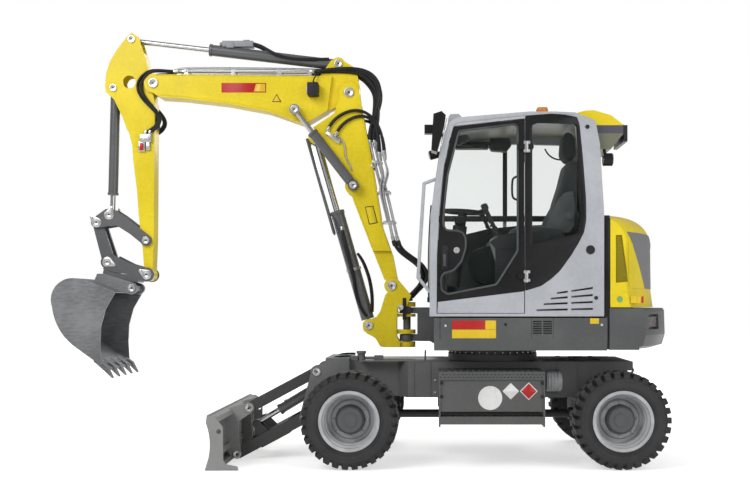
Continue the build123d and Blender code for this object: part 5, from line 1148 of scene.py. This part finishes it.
class EXCAVATOR_OT_interior(bpy.types.Operator):
    """The operator's seat, levers, steering column cover and the dark parts inside the cab"""
    bl_idname = "excavator.interior"
    bl_label = "Cab interior"

    def execute(self, context):
        mid = SEAT_MID
        lever = mid + 268
        back = piece("seat_back", "seat", "upper", cushion(SEAT_BACK, 212, 48))
        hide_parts("seat")
        base = piece("seat_base", "seat", "upper", cushion(SEAT_BASE, 240, 45))
        head = piece("seat_headrest", "seat", "upper", cushion(SEAT_HEAD, 135, 38))
        piece("seat_piping", "moulding", "upper", *both(
            line(mid + 196, 5, (470, 1960), (440, 2040), (505, 2180), (550, 2330), (600, 2490), (650, 2512)),
            middle=mid))
        piece("seat_side_covers", "seat_cover", "upper",
              *both(plate(SEAT_COVER, 26, mid + 213, mid + 231, 6.0),
                    cap(597, 2067, mid + 230, mid + 250, 38, 28, 4, 28, 2), middle=mid))
        piece("seat_stand", "plastic", "upper", beam(200, 520, mid, 130, 1690, 1805, 12),
              beam(170, 560, mid, 150, 1296, 1700, 16),
              *(beam(160, 570, mid, 160, z, z + 14, 5) for z in range(1500, 1680, 36)))
        piece("seat_shell", "plastic", "upper", plate(SEAT_SHELL, 18, mid - 190, mid + 190, 8.0))
        console = [(-67, 1842), (-60, 1868), (9, 1900), (172, 1926), (172, 1714), (102, 1667), (-14, 1679)]
        piece("arm_consoles", "console", "upper",
              *both(plate(console, 18, lever - 52, lever + 52, 10.0), middle=mid))
        gaiters = [drum((5 - ring * 14, lever, 1895 + ring * 27), (-4 - ring * 14, lever, 1914 + ring * 27),
                        38 - ring * 5, (), 20, 5) for ring in range(5)]
        gaiters.append(drum((-64, lever, 2046), (-100, lever, 2120), 19, ((0, 15), (8, 15)), 20, 4))
        gaiters.append(drum((-98, lever, 2112), (-114, lever, 2156), 28, ((0, 18), (6, 18)), 24, 8))
        piece("joysticks", "plastic", "upper", *both(*gaiters, middle=mid))
        piece("steering_column", "plastic", "upper", beam(-420, -330, mid, 60, 1296, 1500, 14),
              drum((-366, mid, 1480), (-300, mid, 2000), 60, ((0, 46), (30, 40)), 28, 8),
              beam(-345, -255, mid, 110, 2010, 2072, 14), box(-470, -430, mid - 60, mid + 120, 1960, 2150, 8))
        piece("cab_inner_trim", "plastic", "upper",
              box(-505, 790, -58, -24.2, 2068, 2118, 4), box(90, 130, -44, -24.2, 2118, 2776, 4),
              box(-330, -40, -200, -66, 2700, 2756, 10),
              plate([(-60, 2700), (-40, 2752), (120, 2756), (140, 2690), (96, 2640), (-30, 2650)], 16,
                    -420, -300, 8.0),
              plate([(-400, 2640), (-390, 2690), (-250, 2712), (-230, 2668), (-320, 2630)], 14,
                    -860, -800, 6.0),
              plate([(215, 2600), (225, 2760), (320, 2770), (345, 2690), (300, 2640), (250, 2540)], 16,
                    -300, -180, 8.0),
              plate([(-500, 1300), (-500, 1900), (-232, 1956), (-37, 2004), (225, 2030), (780, 2050),
                     (780, 1300)], 20, -62, -26, 5.0),
              plate([(-235, 1700), (-200, 1790), (-60, 1840), (60, 1820), (110, 1720), (90, 1560), (-40, 1480),
                     (-180, 1540)], 40, -330, -120, 14.0),
              box(-500, 780, -860, -60, 1296, 1304, 2), box(-506, -470, -868, -44, 1300, 1350, 6))
        piece("cab_cables", "hose", "upper",
              line(-700, 12, (-420, 2690), (-330, 2640, 10), (-180, 2650, 60), (-40, 2680, 100)),
              line(-300, 7, (640, 2600), (560, 2560, 10), (470, 2600, 20), (440, 2680, 20)),
              line(-860, 6, (-440, 2500), (-420, 2380, 10), (-436, 2220, 10), (-470, 2100, 10)))
        return {"FINISHED"}


# Upper structure

def tail_panel(rise, reach, start, sweep, cut):
    """A thin panel round the hood's tail, from a start over a sweep in degrees, with a cut if one is given."""
    lean = math.radians(start)
    points = [at((radius + rise) * math.cos(lean), (radius + rise) * math.sin(lean), z)
              for radius, z in TAIL_PROFILE[:reach]]
    obj = swept(points, at(0, 0, 0), (0, 0, 1), -math.radians(sweep), 18)
    if cut:
        all_picked(obj)
        bpy.ops.mesh.bisect(plane_co=at(1220, 650, 1495), plane_no=(-110, 171, -100), clear_outer=True)
        bpy.ops.object.mode_set(mode="OBJECT")
    skin = obj.modifiers.new("skin", "SOLIDIFY")
    skin.thickness = 0.003
    skin.offset = 0
    bpy.ops.object.modifier_apply(modifier="skin")
    return baked(obj)


class EXCAVATOR_OT_body_trim(bpy.types.Operator):
    """Blank signs, bolts, panel lines, louvres and lamps of the upper structure"""
    bl_idname = "excavator.body_trim"
    bl_label = "Upper structure trim"

    def execute(self, context):
        face = -CAB_SIDE
        for name, finish, limits in UPPER_SIGNS:
            piece(name, finish, "upper", plate(oblong(*limits), 5, face - 1.4, face + 0.2, 0.4))
        piece("skirt_bolts", "lens", "upper", *both(
            *(cap(x, z, CAB_SIDE - 0.2, CAB_SIDE + 5, 10, 5, -2, 24, 1.2)
              for x, z in ((-430, 1161), (827, 1168))), middle=0))
        piece("skirt_plugs", "plastic", "upper",
              *both(cap(53, 1171, CAB_SIDE - 0.2, CAB_SIDE + 4, 12, 6, -2, 24, 1.2), middle=0))
        piece("skirt_lines", "seal", "upper", *both(
            *(box(x - 1.5, x + 1.5, CAB_SIDE - 2, CAB_SIDE + 0.3, 1060, 1222, 0.4) for x in (262, 437)),
            middle=0))
        # The recess's panel and ribs take the olive finish, which holds painted shade of the recess
        ribs = [box(946, 1036 - (z - 1516) * 0.141, 911.5, 913.5, z, z + 5, 0.8)
                for z in range(1524, 1888, 14)]
        piece("hood_recess_shaded_panels", "olive", "hood_body", *both(
            slab([(943, 1889), (989, 1889), (1041, 1517), (943, 1508)], 907.8, 912, 1.0), *ribs, middle=0))
        piece("tail_mesh_panels", "tail_mesh", "hood_body", *both(tail_panel(0.0, 7, 9, 33, True), middle=0))
        piece("tail_covers", "yellow", "hood_body", *both(tail_panel(-1.0, 4, 21, 19.5, False), middle=0))
        piece("hood_badge", "sign_green", "hood_body", cap(973, 1374, -921.7, -923.2, 25, 20, -0.5, 40, 0.3))
        for number, (low, high, finish) in enumerate(((1060, 1110, "sign_yellow"), (1114, 1140, "sign_yellow"),
                                                      (1146, 1164, "sign_red"))):
            piece(f"hood_plate_{number}", finish, "hood_body",
                  plate(oblong(low, high, 1344, 1398), 5, -923.2, -921.7, 0.3))
        piece("work_lamp_lenses", "lens", "upper",
              *(drum((925, y, 2510), (932, y, 2510), 44, ((0, 30), (3, 30)), 32, 3) for y in (face + 90, -70)),
              drum((-560, -11, 2660), (-567, -11, 2658), 36, ((0, 24), (3, 24)), 32, 3))
        piece("boom_lamp_lens", "lens", "upper_boom_body",
              drum((-1649.5, ARM_MID - 157, 3250), (-1656, ARM_MID - 157, 3250), 45, ((0, 30), (3, 30)),
                   32, 3))
        dome = piece("beacon_dome", "beacon", "upper",
                     drum((396, -455, 2948), (396, -455, 3012), 52, (), 48, 26),
                     drum((396, -455, 2885), (396, -455, 2956), 34, (), 32, 1))
        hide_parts("beacon")
        piece("beacon_foot", "plastic", "upper", drum((396, -455, 2930), (396, -455, 2962), 55, (), 48, 3))
        return {"FINISHED"}


class EXCAVATOR_OT_chassis_trim(bpy.types.Operator):
    """Side boxes' signs and treads, deck plates, bolts and hoses of the undercarriage"""
    bl_idname = "excavator.chassis_trim"
    bl_label = "Undercarriage trim"

    def execute(self, context):
        face = -913.0
        piece("box_disc", "sign_white", "chassis",
              cap(-70, 578, face + 0.3, face - 1.2, 97, 90, -0.5, 56, 0.4))
        for colour, x, z, half in (("white", 96, 633, 67), ("red", 241, 633, 72)):
            for name, finish, size, reach, front, back, width in (
                    ("_edge", "white", half, 8, -1.2, 0.3, 0.4), ("", colour, half - 9, 6, -2.0, -1.0, 0.3)):
                diamond = [(x - size, z), (x, z + size), (x + size, z), (x, z - size)]
                piece("box_diamond_" + colour + name, "sign_" + finish, "chassis",
                      plate(diamond, reach, face + front, face + back, width))
        # Dark discs in the holes of the treads' side strips: painted shade of the boxes' insides seen through
        # the holes
        stud = cap(0, 0, -924.8, -926.2, 5.5, 3.5, -0.8, 16, 0.3)
        rows = ((-466, 745), (-451, 768))
        holes = [moved(start + step * 30, 0, z) for start, z in rows for step in range(28)]
        piece("tread_hole_shade_discs", "plastic", "chassis", *both(repeated(stud, holes), middle=0))
        for name, z, radius, rows in (("tread_top_studs", 788.8, 11, (900, 850, 800, 750, 700)),
                                      ("low_tread_studs", 426.8, 10, (900, 860, 820, 780))):
            stud = drum((0, 0, z), (0, 0, z + 2.2), radius, ((0, 6), (-1.2, 6)), 16, 0.4)
            places = [moved(x, y, 0) for y in rows for x in range(-450, 350, 50)]
            piece(name, "step", "chassis", *both(repeated(stud, places), middle=0))
        corner = box(-12, 12, -927.5, -924.8, -12, 12, 2.5)
        piece("box_corner_bolts", "plastic", "chassis", *both(
            repeated(corner, [moved(x, 0, z) for x in (-462, 350) for z in (590, 700)]), middle=0))
        piece("deck_plates", "deck", "chassis", beam(430, 1100, 0, 400, 844.8, 849, 1.5),
              *both(box(-1160, -430, 300, 400, 844.8, 848, 1.5), middle=0),
              beam(700, 830, 0, 180, 848, 862, 4), beam(600, 640, 0, 330, 848, 856, 2),
              beam(900, 940, 0, 330, 848, 856, 2))
        bolt_head = drum((383, 0, 911), (383, 0, 921), 9, ((0, 6), (-1.5, 6)), 6, 1.0)
        ring = [turned_about(at(0, 0, 0), "Z", math.radians(step * 10)) for step in range(36)]
        piece("slew_ring_bolts", "zinc", "chassis", repeated(bolt_head, ring))
        piece("box_bolts", "zinc", "chassis", *both(
            *(cap(-513, z, 439.6, 447, 10, 5, -1.5, 6, 1.0) for z in (583, 688)),
            *(cap(x, 700, 912.8, 919, 11, 6, -1.5, 6, 1.0) for x in (-470, 352)), middle=0))
        piece("brake_cylinder", "rim_rear", "chassis",
              drum((425, -480, 682), (550, -480, 682), 86, ((0, 76), (8, 76)), 40, 3),
              *(drum((x, -480, 682), (x + 10, -480, 682), 91, (), 40, 2.5) for x in (438, 465, 492, 519)),
              box(432, 540, -470, -439.8, 640, 724))
        piece("blade_hoses", "hose", "chassis", *both(*(
            tube([(-1590, y, 655), (-1560, y, 700), (-1515, y, 735), (-1480, y, 760), (-1450, 262, 800),
                  (-1420, 250, 872), (-1330, 236, 884), (-1240, 232, 882)], 9) for y in (186, 212)), middle=0))
        return {"FINISHED"}


# Sizes that a user may change

class ExcavatorLook(bpy.types.PropertyGroup):
    hose_radius: bpy.props.FloatProperty(name="Hose radius", description="Outer radius of the boom's hoses",
                                         default=0.017, unit="LENGTH")
    pin_scale: bpy.props.FloatProperty(name="Pin head size", description="Size of the bright pin heads",
                                       default=1.0)
    lug_count: bpy.props.IntProperty(name="Tread blocks", description="Tread blocks in each row of a tyre",
                                     default=30)
    floor_colour: bpy.props.FloatVectorProperty(name="Floor", description="Colour of the studio floor",
                                                subtype="COLOR", size=3, default=(0.82, 0.82, 0.82))


class EXCAVATOR_OT_finishes(bpy.types.Operator):
    """Gives every CAD piece its finish"""
    bl_idname = "excavator.finishes"
    bl_label = "Finishes"

    def execute(self, context):
        make_finishes()
        for finish, names in NODE_FINISHES.items():
            for name in names:
                if name in NODES:
                    wear_finish(NODES[name], finish)
        return {"FINISHED"}


# Studio: the photograph's own width, focal length and picture centre, in its pixels

PHOTO_WIDTH = 750
FOCAL_LENGTH = 1037.5
CENTRE_SHIFT = (-57.5, 53.0)
SENSOR = 36.0
LIGHTS = (("key_light", (-5.0, -7.0, 7.0), 470.0), ("fill_light", (6.0, -6.0, 4.0), 190.0),
          ("back_light", (1.0, 7.0, 6.0), 240.0))


class EXCAVATOR_OT_studio(bpy.types.Operator):
    """Sets the floor, the soft lights and the camera"""
    bl_idname = "excavator.studio"
    bl_label = "Studio"

    def execute(self, context):
        self.floor(tuple(context.scene.excavator_look.floor_colour))
        context.scene.view_settings.view_transform = "Standard"
        self.sky(context.scene)
        for name, place, power in LIGHTS:
            alone()
            bpy.ops.object.light_add(type="AREA", location=place)
            lamp = bpy.context.object
            lamp.name = name
            lamp.data.size = 5.0
            lamp.data.energy = power
            lamp.rotation_euler = (Vector((0.0, 0.0, 1.4)) - Vector(place)).to_track_quat("-Z", "Y").to_euler()
        alone()
        bpy.ops.object.camera_add(location=at(-535.0, -9275.0, 1344.0), rotation=(math.radians(90), 0, 0))
        camera = bpy.context.object
        camera.name = "photo_camera"
        camera.data.sensor_width = SENSOR
        camera.data.lens = FOCAL_LENGTH / PHOTO_WIDTH * SENSOR
        camera.data.shift_x, camera.data.shift_y = (shift / PHOTO_WIDTH for shift in CENTRE_SHIFT)
        camera.data.clip_end = 200.0
        context.scene.camera = camera
        return {"FINISHED"}

    def floor(self, tone):
        """A plain floor that the camera sees as lit white, fading off towards the viewer."""
        alone()
        bpy.ops.mesh.primitive_plane_add(size=60.0, location=(0, 0, -0.001))
        floor = bpy.context.object
        floor.name = "studio_floor"
        finish = Finish("studio_floor", tone, 0.9, Emission_Strength=1.0)
        camera, gloss, sent = (finish.node("ShaderNodeLightPath", {}, {}, output=f"Is {kind} Ray")
                               for kind in ("Camera", "Glossy", "Transmission"))
        far = (finish.axis("Y") * -1.0).ramp(0.5, -9.0).mix((0.56, 0.56, 0.56), (1.0, 1.0, 1.0))
        finish.set("Emission Color", (camera + gloss + sent).ramp(0.0, 1.0).mix((0.0, 0.0, 0.0), far))
        floor.data.materials.append(finish.material)

    def sky(self, scene):
        """White all round: full white to the camera, dimmer as a light."""
        scene.world = bpy.data.worlds.new("studio")
        scene.world.use_nodes = True
        tree = scene.world.node_tree
        chooser = tree.nodes.new("ShaderNodeMixShader")
        for slot, (background, strength) in enumerate(((tree.nodes["Background"], 0.42),
                                                       (tree.nodes.new("ShaderNodeBackground"), 1.0)), 1):
            background.inputs["Color"].default_value = (1.0, 1.0, 1.0, 1.0)
            background.inputs["Strength"].default_value = strength
            tree.links.new(background.outputs[0], chooser.inputs[slot])
        tree.links.new(tree.nodes.new("ShaderNodeLightPath").outputs["Is Camera Ray"], chooser.inputs[0])
        tree.links.new(chooser.outputs[0], tree.nodes["World Output"].inputs["Surface"])


STEPS = ("finishes", "wheels", "pins", "hoses", "boom_trim", "cab_trim", "interior", "body_trim",
         "chassis_trim", "studio")


class EXCAVATOR_PT_dressing(bpy.types.Panel):
    """Lists the dressing steps"""
    bl_idname = "EXCAVATOR_PT_dressing"
    bl_label = "Excavator"
    bl_space_type = "VIEW_3D"
    bl_region_type = "UI"
    bl_category = "Excavator"

    def draw(self, context):
        for step in STEPS:
            self.layout.operator("excavator." + step)
        for size in ("hose_radius", "pin_scale", "lug_count", "floor_colour"):
            self.layout.prop(context.scene.excavator_look, size)


CLASSES = (ExcavatorLook, EXCAVATOR_OT_finishes, EXCAVATOR_OT_wheels, EXCAVATOR_OT_pins, EXCAVATOR_OT_hoses,
           EXCAVATOR_OT_boom_trim, EXCAVATOR_OT_cab_trim, EXCAVATOR_OT_interior, EXCAVATOR_OT_body_trim,
           EXCAVATOR_OT_chassis_trim, EXCAVATOR_OT_studio, EXCAVATOR_PT_dressing)


def register():
    for kind in CLASSES:
        bpy.utils.register_class(kind)
    bpy.types.Scene.excavator_look = bpy.props.PointerProperty(type=ExcavatorLook)


def unregister():
    del bpy.types.Scene.excavator_look
    for kind in reversed(CLASSES):
        bpy.utils.unregister_class(kind)


def main():
    register()
    for step in STEPS:
        getattr(bpy.ops.excavator, step)()


if __name__ == "__main__":
    main()
